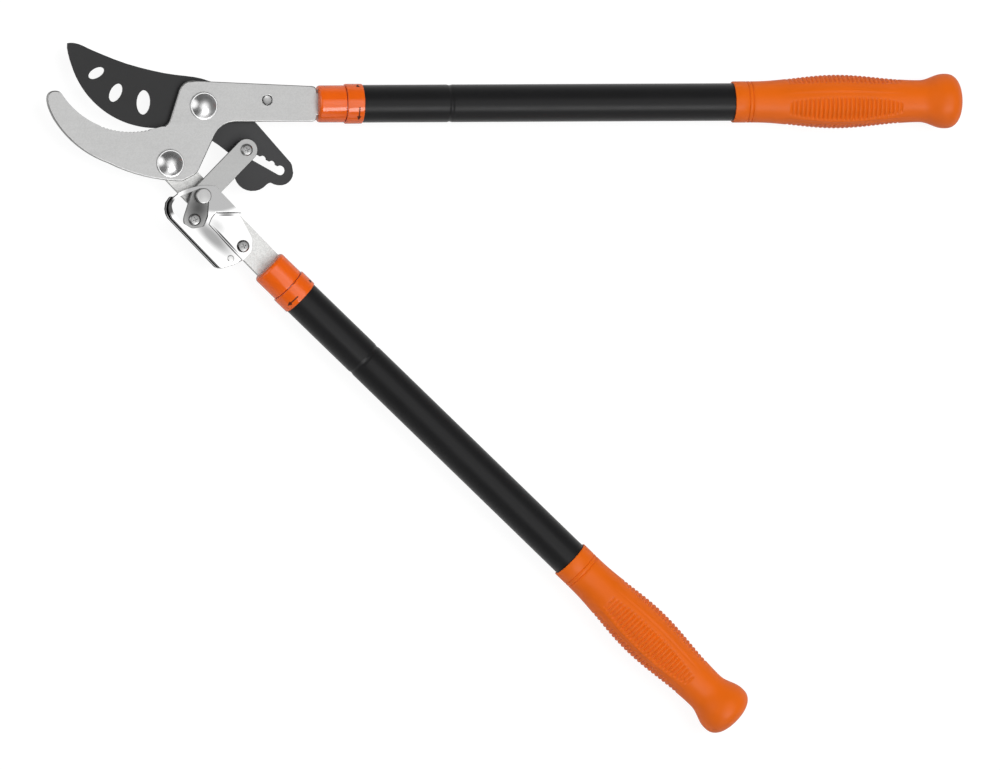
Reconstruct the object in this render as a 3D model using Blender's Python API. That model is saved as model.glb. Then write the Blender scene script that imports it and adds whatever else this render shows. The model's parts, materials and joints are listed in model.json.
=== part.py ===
"""Telescopic ratchet lopper: a hook plate, a cutting blade driven by a notched link, and two sliding handles.

Sizes are in millimetres and are turned into metres where a mesh is made.
The head is drawn round the blade's pivot, with the upper handle along +X and the plates flat in XY.
The lower handle is drawn along its own +X from the handle pivot and turned to the open angle by an empty.
At the end the whole lopper is set down on Z = 0 with its bounding box centred on the origin.
"""
import math

import bmesh
import bpy
from mathutils import Vector

MM = 0.001

# Fits between neighbouring pieces
FIT = 0.3

# Plates of the head, from the front layer to the back
HOOK_THICKNESS = 5.0
BLADE_THICKNESS = 4.0
BAR_THICKNESS = 5.0
LINK_THICKNESS = 3.0
GUARD_THICKNESS = 1.2

# Pivots of the head, measured from the blade pivot
HANDLE_PIVOT = (-25.9, -42.9)
STOP_PIN_PLACE = (48.7, 4.3)
OPEN_ANGLE = -43.9

# Pivots on the lower bar, measured from the handle pivot along the lower handle
LINK_PIVOT = (34.0, -1.2)
GUARD_SCREW_PLACE = (83.5, -6.0)
SPRING_POST_PLACE = (81.7, -20.4)

# Link
LINK_LENGTH = 48.4
LINK_ANGLE = 89.0
LINK_HALF_WIDTH = 8.4
SPRING_ARM_LENGTH = 18.8
SPRING_ARM_ANGLE = -64.5
LINK_PIN_RADIUS = 2.6

# Notched slot in the blade's tail
SLOT_ANGLE = -29.2
NOTCH_PITCH = 7.9
NOTCH_COUNT = 5
SLOT_HALF_WIDTH = 3.7
NOTCH_RADIUS = 2.9
NOTCH_LIFT = 0.6
CUSP_HEIGHT = 1.8

# Pivot bolts
PIVOT_SHANK_RADIUS = 5.0
PIVOT_FLANGE_RADIUS = 10.4
PIVOT_FLANGE_THICKNESS = 1.3
PIVOT_DOME_RADIUS = 9.0
PIVOT_DOME_HEIGHT = 3.6
PIVOT_WASHER_RADIUS = 9.5
PIVOT_WASHER_THICKNESS = 1.5
PIVOT_NUT_ACROSS_FLATS = 17.0
PIVOT_NUT_HEIGHT = 5.5
BOLT_END = 1.0

# Small fasteners
STOP_PIN_RADIUS = 3.2
STOP_PIN_REACH = 4.2
SCREW_HEAD_RADIUS = 4.5
SCREW_HEAD_HEIGHT = 2.3
SCREW_SHANK_RADIUS = 2.4
SMALL_NUT_ACROSS_FLATS = 8.0
SMALL_NUT_HEIGHT = 2.6
RIVET_HEAD_RADIUS = 5.8
RIVET_HEAD_HEIGHT = 4.8
RIVET_SHANK_RADIUS = 3.5
RIVET_TAIL_RADIUS = 5.4
RIVET_TAIL_HEIGHT = 2.0
SPACER_RADIUS = 5.6
POST_HEAD_RADIUS = 2.7
POST_SHANK_RADIUS = 1.6

# Hook plate
ARM_END = 86.7
ARM_CORNER = 3.8
JAW_TOOTH_PITCH = 3.0
JAW_TOOTH_DEPTH = 0.6
JAW_TOOTH_COUNT = 13
JAW_ARC = ((-40.8, -17.4), (-75.0, -15.9), (-107.8, 8.9))
HOOK_TIP = ((-109.1, 10.7), (-110.8, 11.7), (-113.4, 12.1), (-116.2, 11.5), (-118.1, 10.1), (-119.2, 7.8),
            (-119.356, 4.6), (-118.5, 0.4), (-116.9, -3.9), (-114.2, -9.3))
HOOK_FRONT_ARC = ((-104.0, -22.4), (-73.1, -42.3))
HOOK_BACK_ARC = ((-45.6, -52.4), (-16.5, -56.2))
HUB_ARM_FILLET = (13.2, -11.9, 17.0)
HUB_LOW_CORNER = (-5.3, -50.5, 10.0)
HUB_TOP_CORNER = (-16.0, 19.4, 10.0)
HUB_HEEL_CORNER = (-27.0, -14.2, 9.0)

# Blade
BLADE_BEVEL_WIDTH = 6.0
BLADE_EDGE_THICKNESS = 0.5
BLADE_EDGE_ARC = ((-102.4, 44.2), (-76.2, -2.5), (-34.4, -16.3))
BLADE_TIP = (-102.3, 47.6)
BLADE_SPINE = ((24.0, 6.5), (13.5, 15.6), (4.9, 18.9), (-5.9, 21.8), (-29.2, 24.9),
               (-57.6, 32.0), (-82.8, 41.8), (-92.0, 46.1), (-98.3, 47.8))
BLADE_HEEL = ((-24.0, -15.6), (-12.0, -17.2), (7.7, -25.9))
SMALL_OVAL = ((-80.5, 25.1), 13.6, 7.3, 27.0)
MIDDLE_OVAL = ((-65.8, 10.3), 15.0, 9.1, 60.0)
LARGE_OVAL = ((-44.7, 3.0), 18.5, 10.9, 86.0)

# Blade's tail, measured from the pin's seat along the slot
TAIL_LOW_SIDE = ((-9.3, -7.4), (-2.1, -12.5), (4.0, -21.9))
TAIL_NEAR_LOBE = ((13.9, -11.8), 13.7)
TAIL_NECK = ((-4.1, -14.1), (-2.2, -11.6), (1.1, -11.3))
TAIL_FAR_LOBE = ((0.6, -1.3), 9.8)
TAIL_HIGH_SIDE = ((5.7, 7.7), (3.9, 8.9))
TAIL_TOP = (-4.5, 23.0)

# Lower bar
BAR_HALF_WIDTH = 10.8
BAR_END_RADIUS = 10.0

# Guard, drawn in the lower handle's frame
GUARD_BEND_RADIUS = 2.0

# Tension spring
SPRING_WIRE_RADIUS = 0.55
SPRING_COIL_RADIUS = 3.0
SPRING_CURLS = 14
SPRING_POINTS_PER_CURL = 8
SPRING_LEAD = 10.0
SPRING_TAIL = 5.4
SPRING_HOOK_CLEARANCE = 0.35

# Telescopic handles; what surrounds the outer tube or lies in it follows from its radius
OUTER_TUBE_RADIUS = 14.15
OUTER_TUBE_WALL = 1.4
SLIDE_GAP = 0.75
INNER_TUBE_RADIUS = OUTER_TUBE_RADIUS - OUTER_TUBE_WALL - SLIDE_GAP
INNER_TUBE_WALL = 1.4
TANG_SIDE_COVER = 2.0
TANG_WIDTH = 2 * (INNER_TUBE_RADIUS - INNER_TUBE_WALL - TANG_SIDE_COVER)
TANG_DEPTH = 62.0
CAP_STEP = 0.2
CAP_RADIUS = OUTER_TUBE_RADIUS - CAP_STEP
CAP_LENGTH = 21.0
CAP_WALL = 3.0
CAP_ROUNDING = 2.5
GROOVE_PLACE = 101.5
GROOVE_LENGTH = 5.0
GROOVE_DEPTH = 0.45
RING_STEP = 0.85
RING_RADIUS = OUTER_TUBE_RADIUS + RING_STEP
RING_LIP_GAP = 0.25
RING_LENGTH = 13.0
RING_COLLAR = 6.0
CROSS_PIN_RADIUS = 2.0
CROSS_PIN_INSET = 14.0
PIN_HOLE_TURN = 7.0
LOCK_PLUG_DEPTH = 24.0
LOCK_CONE_START = 4.0
LOCK_SPINDLE_RADIUS = 4.0
LOCK_CONE_RADIUS = 6.5
LOCK_FLANGE_THICKNESS = 3.0
COLLET_LENGTH = 18.0
COLLET_SLIT = 3.0
LOCK_SCREW_HEAD = 3.0
LOCK_SPARE = 7.5
END_PLUG_DEPTH = 10.0
END_PLUG_FLANGE = 2.0
UPPER_AXIS_OFFSET = 1.2
LOWER_AXIS_OFFSET = -3.5
LOWER_CAP_START = 107.6
ARM_TO_CAP = 0.6

# Widths of the arm and the bar at the caps; the bar is wider on its inner side
ARM_SIDE_STEP = 0.75
ARM_WIDTH = 2 * (CAP_RADIUS - ARM_SIDE_STEP)
BAR_INNER_STEP = 2.45
BAR_INNER_SIDE = CAP_RADIUS - BAR_INNER_STEP
BAR_OUTER_STEP = 3.75
BAR_OUTER_SIDE = CAP_RADIUS - BAR_OUTER_STEP

# Grips
GRIP_START = 319.0
GRIP_LENGTH = 177.0
GRIP_NECK_WALL = 1.35
GRIP_NECK_RADIUS = OUTER_TUBE_RADIUS + GRIP_NECK_WALL
GRIP_BELLY_SWELL = 4.7
GRIP_BELLY_RADIUS = GRIP_NECK_RADIUS + GRIP_BELLY_SWELL
GRIP_WAIST_SWELL = 0.3
GRIP_WAIST_RADIUS = GRIP_NECK_RADIUS + GRIP_WAIST_SWELL
GRIP_POMMEL_SWELL = 5.05
GRIP_POMMEL_RADIUS = GRIP_NECK_RADIUS + GRIP_POMMEL_SWELL
GRIP_NECK_LENGTH = 16.0
GRIP_BELLY_PLACE = 79.5
GRIP_WAIST_PLACE = 143.8
GRIP_POMMEL_PLACE = 164.4
GRIP_END_ROUNDING = 9.0
GRIP_END_WALL = 11.0
GRIP_GROOVE_PLACES = (10.5, 13.6)
GRIP_GROOVE_DEPTH = 0.35
GRIP_STRETCHES = 14

# Ends of the tubes, which follow from the grip, and places of the pins through the tang
OUTER_TUBE_END = GRIP_START + GRIP_LENGTH - GRIP_END_WALL - END_PLUG_FLANGE - 2 * FIT
LOCK_LENGTH = LOCK_FLANGE_THICKNESS + COLLET_LENGTH + LOCK_SCREW_HEAD + 3 * FIT
INNER_TUBE_END = OUTER_TUBE_END - END_PLUG_DEPTH - LOCK_LENGTH - LOCK_SPARE
CROSS_PIN_PLACES = (CROSS_PIN_INSET, TANG_DEPTH - CROSS_PIN_INSET)

# Smoothness of round pieces
TUBE_SEGMENTS = 24
INNER_SEGMENTS = 16
BOLT_SEGMENTS = 20
SCREW_SEGMENTS = 12

# Heights of the plates over the plane between hook plate and bar
HOOK_BACK = FIT / 2
HOOK_FRONT = HOOK_BACK + HOOK_THICKNESS
BLADE_FRONT = -FIT / 2
BLADE_BACK = BLADE_FRONT - BLADE_THICKNESS
BAR_FRONT = -FIT / 2
BAR_BACK = BAR_FRONT - BAR_THICKNESS
LINK_BACK = HOOK_FRONT + FIT
LINK_FRONT = LINK_BACK + LINK_THICKNESS
GUARD_BACK = LINK_FRONT + FIT
GUARD_FRONT = GUARD_BACK + GUARD_THICKNESS
GUARD_FOOT = BAR_BACK

SILVER = ((0.60, 0.60, 0.59), 0.34, 1.0)
CHROME = ((0.72, 0.72, 0.72), 0.10, 1.0)
ZINC = ((0.62, 0.62, 0.61), 0.25, 1.0)
COATED = ((0.045, 0.045, 0.047), 0.45, 0.0)
BLACK = ((0.020, 0.020, 0.022), 0.35, 0.0)
ORANGE = ((0.80, 0.13, 0.008), 0.30, 0.0)
GRIP_ORANGE = ((0.76, 0.14, 0.012), 0.50, 0.0)
ALUMINIUM = ((0.55, 0.55, 0.56), 0.40, 1.0)
NYLON = ((0.10, 0.10, 0.11), 0.55, 0.0)


def clear_scene():
    for old in list(bpy.data.objects):
        bpy.data.objects.remove(old, do_unlink=True)


def make_material(name, finish):
    """A Principled material of the finish's colour, roughness and metallic value."""
    colour, roughness, metallic = finish
    material = bpy.data.materials.new(name)
    material.use_nodes = True
    shader = material.node_tree.nodes["Principled BSDF"]
    shader.inputs["Base Color"].default_value = (*colour, 1.0)
    shader.inputs["Roughness"].default_value = roughness
    shader.inputs["Metallic"].default_value = metallic
    return material


def empty(name, place=(0.0, 0.0, 0.0), turn=0.0, parent=None):
    """An empty at a place in millimetres, turned about Z by degrees."""
    holder = bpy.data.objects.new(name, None)
    holder.location = Vector(place) * MM
    holder.rotation_euler[2] = math.radians(turn)
    holder.parent = parent
    bpy.context.scene.collection.objects.link(holder)
    return holder


def finish_piece(name, bm, finish, parent, smooth=True):
    """Turns a bmesh in millimetres into a named object in metres."""
    bmesh.ops.recalc_face_normals(bm, faces=bm.faces)
    bmesh.ops.scale(bm, vec=(MM, MM, MM), verts=bm.verts)
    mesh = bpy.data.meshes.new(name)
    bm.to_mesh(mesh)
    bm.free()
    piece = bpy.data.objects.new(name, mesh)
    piece.parent = parent
    bpy.context.scene.collection.objects.link(piece)
    if finish is not None:
        mesh.materials.append(make_material(name, finish))
    if smooth:
        mesh.shade_smooth()
        mesh.set_sharp_from_angle(angle=math.radians(35))
    return piece


def guide_only(piece):
    """Marks a cutter, so that it stays out of the model."""
    piece.hide_render = True
    piece.display_type = "WIRE"
    return piece


def combine(piece, other, operation):
    """Adds a live Boolean with another object."""
    step = piece.modifiers.new(operation.lower() + "_" + other.name, "BOOLEAN")
    step.object = other
    step.operation = operation
    step.solver = "EXACT"
    guide_only(other)


# Outlines

def polar(centre, radius, degrees):
    angle = math.radians(degrees)
    return (centre[0] + radius * math.cos(angle), centre[1] + radius * math.sin(angle))


def arc(centre, radius, start, end, steps):
    """Points on an arc from one angle to another, both ends included."""
    return [polar(centre, radius, start + (end - start) * i / steps) for i in range(steps + 1)]


def circle(centre, radius, segments, first=0.0):
    return arc(centre, radius, first, first + 360, segments)[:-1]


def placed(points, centre, turn):
    """Points drawn round (0, 0), turned by degrees and moved to a centre."""
    c, s = math.cos(math.radians(turn)), math.sin(math.radians(turn))
    return [(centre[0] + x * c - y * s, centre[1] + x * s + y * c) for x, y in points]


def beside(place, dx, dy):
    """A place a given step away from another."""
    return (place[0] + dx, place[1] + dy)


def circle_centre(a, b, c):
    """Centre of the circle through three points."""
    ax, ay = a
    bx, by = b[0] - ax, b[1] - ay
    cx, cy = c[0] - ax, c[1] - ay
    d = 2 * (bx * cy - by * cx)
    x = (cy * (bx * bx + by * by) - by * (cx * cx + cy * cy)) / d
    y = (bx * (cx * cx + cy * cy) - cx * (bx * bx + by * by)) / d
    return (ax + x, ay + y)


def arc_through(a, b, c, steps):
    """Points on the arc from a through b to c."""
    centre = circle_centre(a, b, c)
    radius = math.dist(centre, a)
    angles = [math.degrees(math.atan2(p[1] - centre[1], p[0] - centre[0])) for p in (a, b, c)]
    middle = (angles[1] - angles[0]) % 360
    end = (angles[2] - angles[0]) % 360
    if middle > end:
        end -= 360
    return arc(centre, radius, angles[0], angles[0] + end, steps)


def rounded(corners, steps=4):
    """A closed outline through corners (x, y, radius), each corner rounded by an arc of its radius."""
    points = []
    for i, (x, y, radius) in enumerate(corners):
        if radius == 0:
            points.append((x, y))
            continue
        corner = Vector((x, y))
        before = (Vector(corners[i - 1][:2]) - corner).normalized()
        after = (Vector(corners[(i + 1) % len(corners)][:2]) - corner).normalized()
        half = before.angle(after) / 2
        reach = radius / math.tan(half)
        centre = corner + (before + after).normalized() * (radius / math.sin(half))
        start = corner + before * reach
        end = corner + after * reach
        first = math.degrees(math.atan2(start.y - centre.y, start.x - centre.x))
        last = math.degrees(math.atan2(end.y - centre.y, end.x - centre.x))
        sweep = (last - first + 180) % 360 - 180
        points += arc(centre, radius, first, first + sweep, steps)
    return points


def smooth_line(keys, steps):
    """A smooth curve through key points, as a Catmull-Rom spline."""
    ends = [keys[0]] + list(keys) + [keys[-1]]
    points = []
    for i in range(len(keys) - 1):
        a, b, c, d = (Vector(p) for p in ends[i:i + 4])
        for step in range(steps):
            t = step / steps
            point = 0.5 * (2 * b + (c - a) * t + (2 * a - 5 * b + 4 * c - d) * t * t
                           + (3 * b - a - 3 * c + d) * t * t * t)
            points.append(tuple(point))
    points.append(tuple(keys[-1]))
    return points


def strip(path, half_width, elbow, steps=6):
    """Outline of a bar of even width along a bent path of three points, with round ends."""
    a, b, c = (Vector(p) for p in path)
    first = (b - a).normalized()
    second = (c - b).normalized()
    left_first = Vector((-first.y, first.x))
    left_second = Vector((-second.y, second.x))
    mitre = (left_first + left_second).normalized()
    mitre *= half_width / mitre.dot(left_first)
    heading = math.degrees(math.atan2(first.y, first.x))
    leaving = math.degrees(math.atan2(second.y, second.x))
    inner, outer = b + mitre, b - mitre
    tail = arc(a, half_width, heading + 270, heading + 90, steps * 2)
    head = arc(c, half_width, leaving + 90, leaving - 90, steps * 2)
    upper_side = rounded([(*tail[-1], 0), (*inner, elbow), (*head[0], 0)])
    lower_side = rounded([(*head[-1], 0), (*outer, elbow), (*tail[0], 0)])
    return tail + upper_side[1:-1] + head + lower_side[1:-1]


def hexagon(centre, across_flats):
    return circle(centre, across_flats / 2 / math.cos(math.radians(30)), 6)


# Solids

def plate(name, outline, back, front, finish, parent, holes=()):
    """A flat plate with a closed outline and closed holes."""
    bm = bmesh.new()
    edges = []
    for loop in (outline, *holes):
        corners = [bm.verts.new((x, y, back)) for x, y in loop]
        edges += [bm.edges.new((corners[i - 1], corners[i])) for i in range(len(corners))]
    bmesh.ops.triangle_fill(bm, edges=edges, use_beauty=True, normal=(0, 0, 1))
    raised = bmesh.ops.extrude_face_region(bm, geom=bm.faces[:], use_keep_orig=True)
    tops = [item for item in raised["geom"] if isinstance(item, bmesh.types.BMVert)]
    bmesh.ops.translate(bm, verts=tops, vec=(0, 0, front - back))
    return finish_piece(name, bm, finish, parent)


def turned_mesh(bm, profile, axis, segments, closed, centre=(0.0, 0.0), first=0.0):
    """Turns a profile of (radius, height) pairs about X or Z; a radius of 0 makes a pole."""
    rings = []
    for radius, height in profile:
        if radius <= 0:
            spots = [(0.0, 0.0)]
        else:
            spots = circle((0.0, 0.0), radius, segments, first)
        if axis == "X":
            rings.append([bm.verts.new((height, a + centre[0], b + centre[1])) for a, b in spots])
        else:
            rings.append([bm.verts.new((a + centre[0], b + centre[1], height)) for a, b in spots])
    count = len(rings)
    for i in range(count if closed else count - 1):
        lower, upper = rings[i], rings[(i + 1) % count]
        for k in range(segments):
            n = (k + 1) % segments
            if len(lower) == 1 and len(upper) == 1:
                break
            if len(lower) == 1:
                bm.faces.new((lower[0], upper[n], upper[k]))
            elif len(upper) == 1:
                bm.faces.new((lower[k], lower[n], upper[0]))
            else:
                bm.faces.new((lower[k], lower[n], upper[n], upper[k]))


def turned(name, profile, axis, segments, finish, parent, closed=False, centre=(0.0, 0.0), first=0.0):
    bm = bmesh.new()
    turned_mesh(bm, profile, axis, segments, closed, centre, first)
    return finish_piece(name, bm, finish, parent)


def box_cutter(name, low, high, parent):
    bm = bmesh.new()
    bmesh.ops.create_cube(bm, size=1)
    size = Vector(high) - Vector(low)
    bmesh.ops.scale(bm, vec=size, verts=bm.verts)
    bmesh.ops.translate(bm, vec=(Vector(high) + Vector(low)) / 2, verts=bm.verts)
    return guide_only(finish_piece(name, bm, None, parent, smooth=False))


# Head

def jaw_edge():
    """Inner edge of the hook from the arm side to the tip, with its row of teeth."""
    heel, middle, tip = JAW_ARC
    centre = circle_centre(heel, middle, tip)
    radius = math.dist(centre, heel)
    start = math.degrees(math.atan2(heel[1] - centre[1], heel[0] - centre[0]))
    end = math.degrees(math.atan2(tip[1] - centre[1], tip[0] - centre[0]))
    if end > start:
        end -= 360
    pitch = -math.degrees(JAW_TOOTH_PITCH / radius)
    points = []
    for tooth in range(JAW_TOOTH_COUNT):
        points.append(polar(centre, radius, start + pitch * tooth))
        points.append(polar(centre, radius + JAW_TOOTH_DEPTH, start + pitch * (tooth + 0.5)))
    points += arc(centre, radius, start + pitch * JAW_TOOTH_COUNT, end, 8)
    return points


def tang_holes(cap_face, axis):
    """Holes for the cross pins in a tang."""
    return [circle((cap_face + place, axis), CROSS_PIN_RADIUS + FIT, SCREW_SEGMENTS, PIN_HOLE_TURN)
            for place in CROSS_PIN_PLACES]


def make_hook_plate(parent):
    """Silver counter blade: hook, hub and the arm that ends in the upper handle's tang."""
    axis = UPPER_AXIS_OFFSET
    tang_end = ARM_END + ARM_TO_CAP + TANG_DEPTH
    half_arm = ARM_WIDTH / 2
    half_tang = TANG_WIDTH / 2
    arm = rounded([
        HUB_ARM_FILLET,
        (ARM_END, axis - half_arm, ARM_CORNER),
        (ARM_END, axis - half_tang, 0),
        (tang_end, axis - half_tang, 2.0),
        (tang_end, axis + half_tang, 2.0),
        (ARM_END, axis + half_tang, 0),
        (ARM_END, axis + half_arm, ARM_CORNER),
        HUB_TOP_CORNER,
        HUB_HEEL_CORNER,
        (*JAW_ARC[0], 0),
        (*HOOK_BACK_ARC[1], 0),
        HUB_LOW_CORNER,
    ])
    heel = arm.index(JAW_ARC[0])
    tip = smooth_line([JAW_ARC[2], *HOOK_TIP], 2)
    outer_front = arc_through(HOOK_TIP[-1], *HOOK_FRONT_ARC, 10)
    outer_back = arc_through(HOOK_FRONT_ARC[1], *HOOK_BACK_ARC, 8)
    outline = arm[:heel] + jaw_edge() + tip[1:] + outer_front[1:] + outer_back[1:] + arm[heel + 2:]
    holes = [
        circle((0.0, 0.0), PIVOT_SHANK_RADIUS + FIT, BOLT_SEGMENTS),
        circle(HANDLE_PIVOT, PIVOT_SHANK_RADIUS + FIT, BOLT_SEGMENTS),
        circle(STOP_PIN_PLACE, STOP_PIN_RADIUS + FIT, SCREW_SEGMENTS),
    ] + tang_holes(ARM_END + ARM_TO_CAP, UPPER_AXIS_OFFSET)
    plate("hook_plate", outline, HOOK_BACK, HOOK_FRONT, SILVER, parent, holes)


def slot_outline(pin):
    """Slot with one row of notches on its upper side, drawn from the pin's seat at rest."""
    end = NOTCH_PITCH * (NOTCH_COUNT - 1)
    end_rise = math.degrees(math.asin(CUSP_HEIGHT / SLOT_HALF_WIDTH))
    notch_rise = math.degrees(math.asin((CUSP_HEIGHT - NOTCH_LIFT) / NOTCH_RADIUS))
    local = arc((end, 0.0), SLOT_HALF_WIDTH, -90, end_rise + 90, 7)
    local += arc((end, 0.0), SLOT_HALF_WIDTH, end_rise + 110, 180 - end_rise, 3)
    for notch in range(NOTCH_COUNT - 2, 0, -1):
        local += arc((NOTCH_PITCH * notch, NOTCH_LIFT), NOTCH_RADIUS, notch_rise, 180 - notch_rise, 6)
    local += arc((0.0, 0.0), SLOT_HALF_WIDTH, end_rise, 270, 10)
    return placed(local, pin, SLOT_ANGLE)


def tail_outline(pin):
    """The blade's tail round its slot, from the lower hub round both lobes to the upper hub."""
    far_seat = NOTCH_PITCH * (NOTCH_COUNT - 1)
    lobe, lobe_radius = TAIL_FAR_LOBE
    local = smooth_line(TAIL_LOW_SIDE, 3)
    local += arc(*TAIL_NEAR_LOBE, 226, 335, 8)
    local += smooth_line([beside(spot, far_seat, 0.0) for spot in TAIL_NECK], 2)
    local += arc(beside(lobe, far_seat, 0.0), lobe_radius, 291, 387, 6)
    local += [beside(spot, far_seat, 0.0) for spot in TAIL_HIGH_SIDE] + [TAIL_TOP]
    return placed(local, pin, SLOT_ANGLE)


def oval(centre, length, width, tilt, segments=18):
    """An ellipse of the given length and width, its length tilted by degrees."""
    local = [(x * length / 2, y * width / 2) for x, y in circle((0.0, 0.0), 1.0, segments)]
    return placed(local, centre, tilt)


def make_blade(parent, pin):
    """Cutting blade, hub and notched tail in one plate, ground to an edge on its back side."""
    centre = circle_centre(*BLADE_EDGE_ARC)
    edge = arc_through(*BLADE_EDGE_ARC, 22)
    tail = tail_outline(pin)
    hub = smooth_line([BLADE_EDGE_ARC[-1], *BLADE_HEEL, tail[0]], 3)
    back = smooth_line([tail[-1], *BLADE_SPINE, BLADE_TIP], 3)
    outline = edge + hub[1:] + tail[1:] + back[1:]
    ground = len(edge) - 1
    shares = [min(1.0, i / 3, (ground - i) / 4) if i <= ground else 0.0 for i in range(len(outline))]
    heights = [BLADE_BACK + (BLADE_THICKNESS - BLADE_EDGE_THICKNESS) * share for share in shares]
    inner = []
    for corner, share in zip(outline, shares):
        reach = math.dist(centre, corner)
        kept = (reach - BLADE_BEVEL_WIDTH * share) / reach
        inner.append((centre[0] + (corner[0] - centre[0]) * kept, centre[1] + (corner[1] - centre[1]) * kept))
    holes = [
        slot_outline(pin),
        oval(*SMALL_OVAL),
        oval(*MIDDLE_OVAL),
        oval(*LARGE_OVAL),
        circle((0.0, 0.0), PIVOT_SHANK_RADIUS + FIT, BOLT_SEGMENTS),
    ]
    bm = bmesh.new()

    def ring(points, levels):
        return [bm.verts.new((x, y, z)) for (x, y), z in zip(points, levels)]

    def fill(rings):
        edges = [bm.edges.new((corners[i - 1], corners[i])) for corners in rings for i in range(len(corners))]
        bmesh.ops.triangle_fill(bm, edges=edges, use_beauty=True, normal=(0, 0, 1))

    def bridge(first, second):
        for i in range(len(first)):
            corners = []
            for corner in (first[i - 1], first[i], second[i], second[i - 1]):
                if corner not in corners:
                    corners.append(corner)
            if len(corners) > 2:
                bm.faces.new(corners)

    front = ring(outline, [BLADE_FRONT] * len(outline))
    side = ring(outline, heights)
    rear = [bm.verts.new((*place, BLADE_BACK)) if share else corner
            for place, share, corner in zip(inner, shares, side)]
    front_holes = [ring(hole, [BLADE_FRONT] * len(hole)) for hole in holes]
    rear_holes = [ring(hole, [BLADE_BACK] * len(hole)) for hole in holes]
    fill([front] + front_holes)
    fill([rear] + rear_holes)
    bridge(front, side)
    bridge(side, rear)
    for first, second in zip(front_holes, rear_holes):
        bridge(first, second)
    finish_piece("blade", bm, COATED, parent)


def make_pivot_bolt(name, parent, back):
    """Domed flange bolt through the hook plate and the plate behind it, with its washer and nut."""
    flange_back = HOOK_FRONT + FIT
    flange_front = flange_back + PIVOT_FLANGE_THICKNESS
    washer_front = back - FIT
    washer_back = washer_front - PIVOT_WASHER_THICKNESS
    nut_front = washer_back - FIT
    nut_back = nut_front - PIVOT_NUT_HEIGHT
    dome_ball = (PIVOT_DOME_RADIUS ** 2 + PIVOT_DOME_HEIGHT ** 2) / (2 * PIVOT_DOME_HEIGHT)
    dome = []
    for share in (0.0, 0.3, 0.6, 0.85):
        height = PIVOT_DOME_HEIGHT * share
        radius = math.sqrt(max(0.0, dome_ball ** 2 - (height + dome_ball - PIVOT_DOME_HEIGHT) ** 2))
        dome.append((radius, flange_front + height))
    profile = [(0.0, nut_back - BOLT_END), (PIVOT_SHANK_RADIUS - 0.6, nut_back - BOLT_END),
               (PIVOT_SHANK_RADIUS, nut_back - BOLT_END + 0.6),
               (PIVOT_SHANK_RADIUS, flange_back), (PIVOT_FLANGE_RADIUS, flange_back),
               (PIVOT_FLANGE_RADIUS, flange_front - 0.4), (PIVOT_FLANGE_RADIUS - 0.4, flange_front)]
    profile += dome + [(0.0, flange_front + PIVOT_DOME_HEIGHT)]
    turned(name + "_bolt", profile, "Z", BOLT_SEGMENTS, ZINC, parent)
    bore = PIVOT_SHANK_RADIUS + FIT
    washer = [(bore, washer_back), (PIVOT_WASHER_RADIUS, washer_back),
              (PIVOT_WASHER_RADIUS, washer_front), (bore, washer_front)]
    turned(name + "_washer", washer, "Z", BOLT_SEGMENTS, ZINC, parent, closed=True)
    plate(name + "_nut", hexagon((0.0, 0.0), PIVOT_NUT_ACROSS_FLATS), nut_back, nut_front, ZINC, parent,
          [circle((0.0, 0.0), bore, BOLT_SEGMENTS)])


def make_stop_pin(parent):
    """Pin set flush in the arm, whose back end stops the tail."""
    back = HOOK_BACK - STOP_PIN_REACH
    profile = [(0.0, back), (STOP_PIN_RADIUS - 0.4, back), (STOP_PIN_RADIUS, back + 0.4),
               (STOP_PIN_RADIUS, HOOK_FRONT), (0.0, HOOK_FRONT)]
    turned("blade_stop_pin", profile, "Z", SCREW_SEGMENTS, ZINC, parent, centre=STOP_PIN_PLACE)


def cross_head_screw(name, parent, place, seat, end, shank, finish=ZINC, head=SCREW_HEAD_RADIUS):
    """Pan head screw with a cross recess; its head sits on the seat and its shank runs down to the end."""
    top = seat + SCREW_HEAD_HEIGHT
    profile = [(0.0, end), (shank - 0.3, end), (shank, end + 0.3), (shank, seat), (head, seat),
               (head, seat + 0.45 * SCREW_HEAD_HEIGHT), (head * 0.86, seat + 0.85 * SCREW_HEAD_HEIGHT),
               (head * 0.55, top), (0.0, top)]
    screw = turned(name, profile, "Z", SCREW_SEGMENTS, finish, parent, centre=place)
    arm, slit, depth = head * 0.55, head * 0.13, SCREW_HEAD_HEIGHT * 0.55
    for i, (x, y) in enumerate(((arm, slit), (slit, arm))):
        recess = box_cutter(f"{name}_recess_{i}", (place[0] - x, place[1] - y, top - depth),
                            (place[0] + x, place[1] + y, top + 1.0), parent)
        combine(screw, recess, "DIFFERENCE")
    return screw


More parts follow.
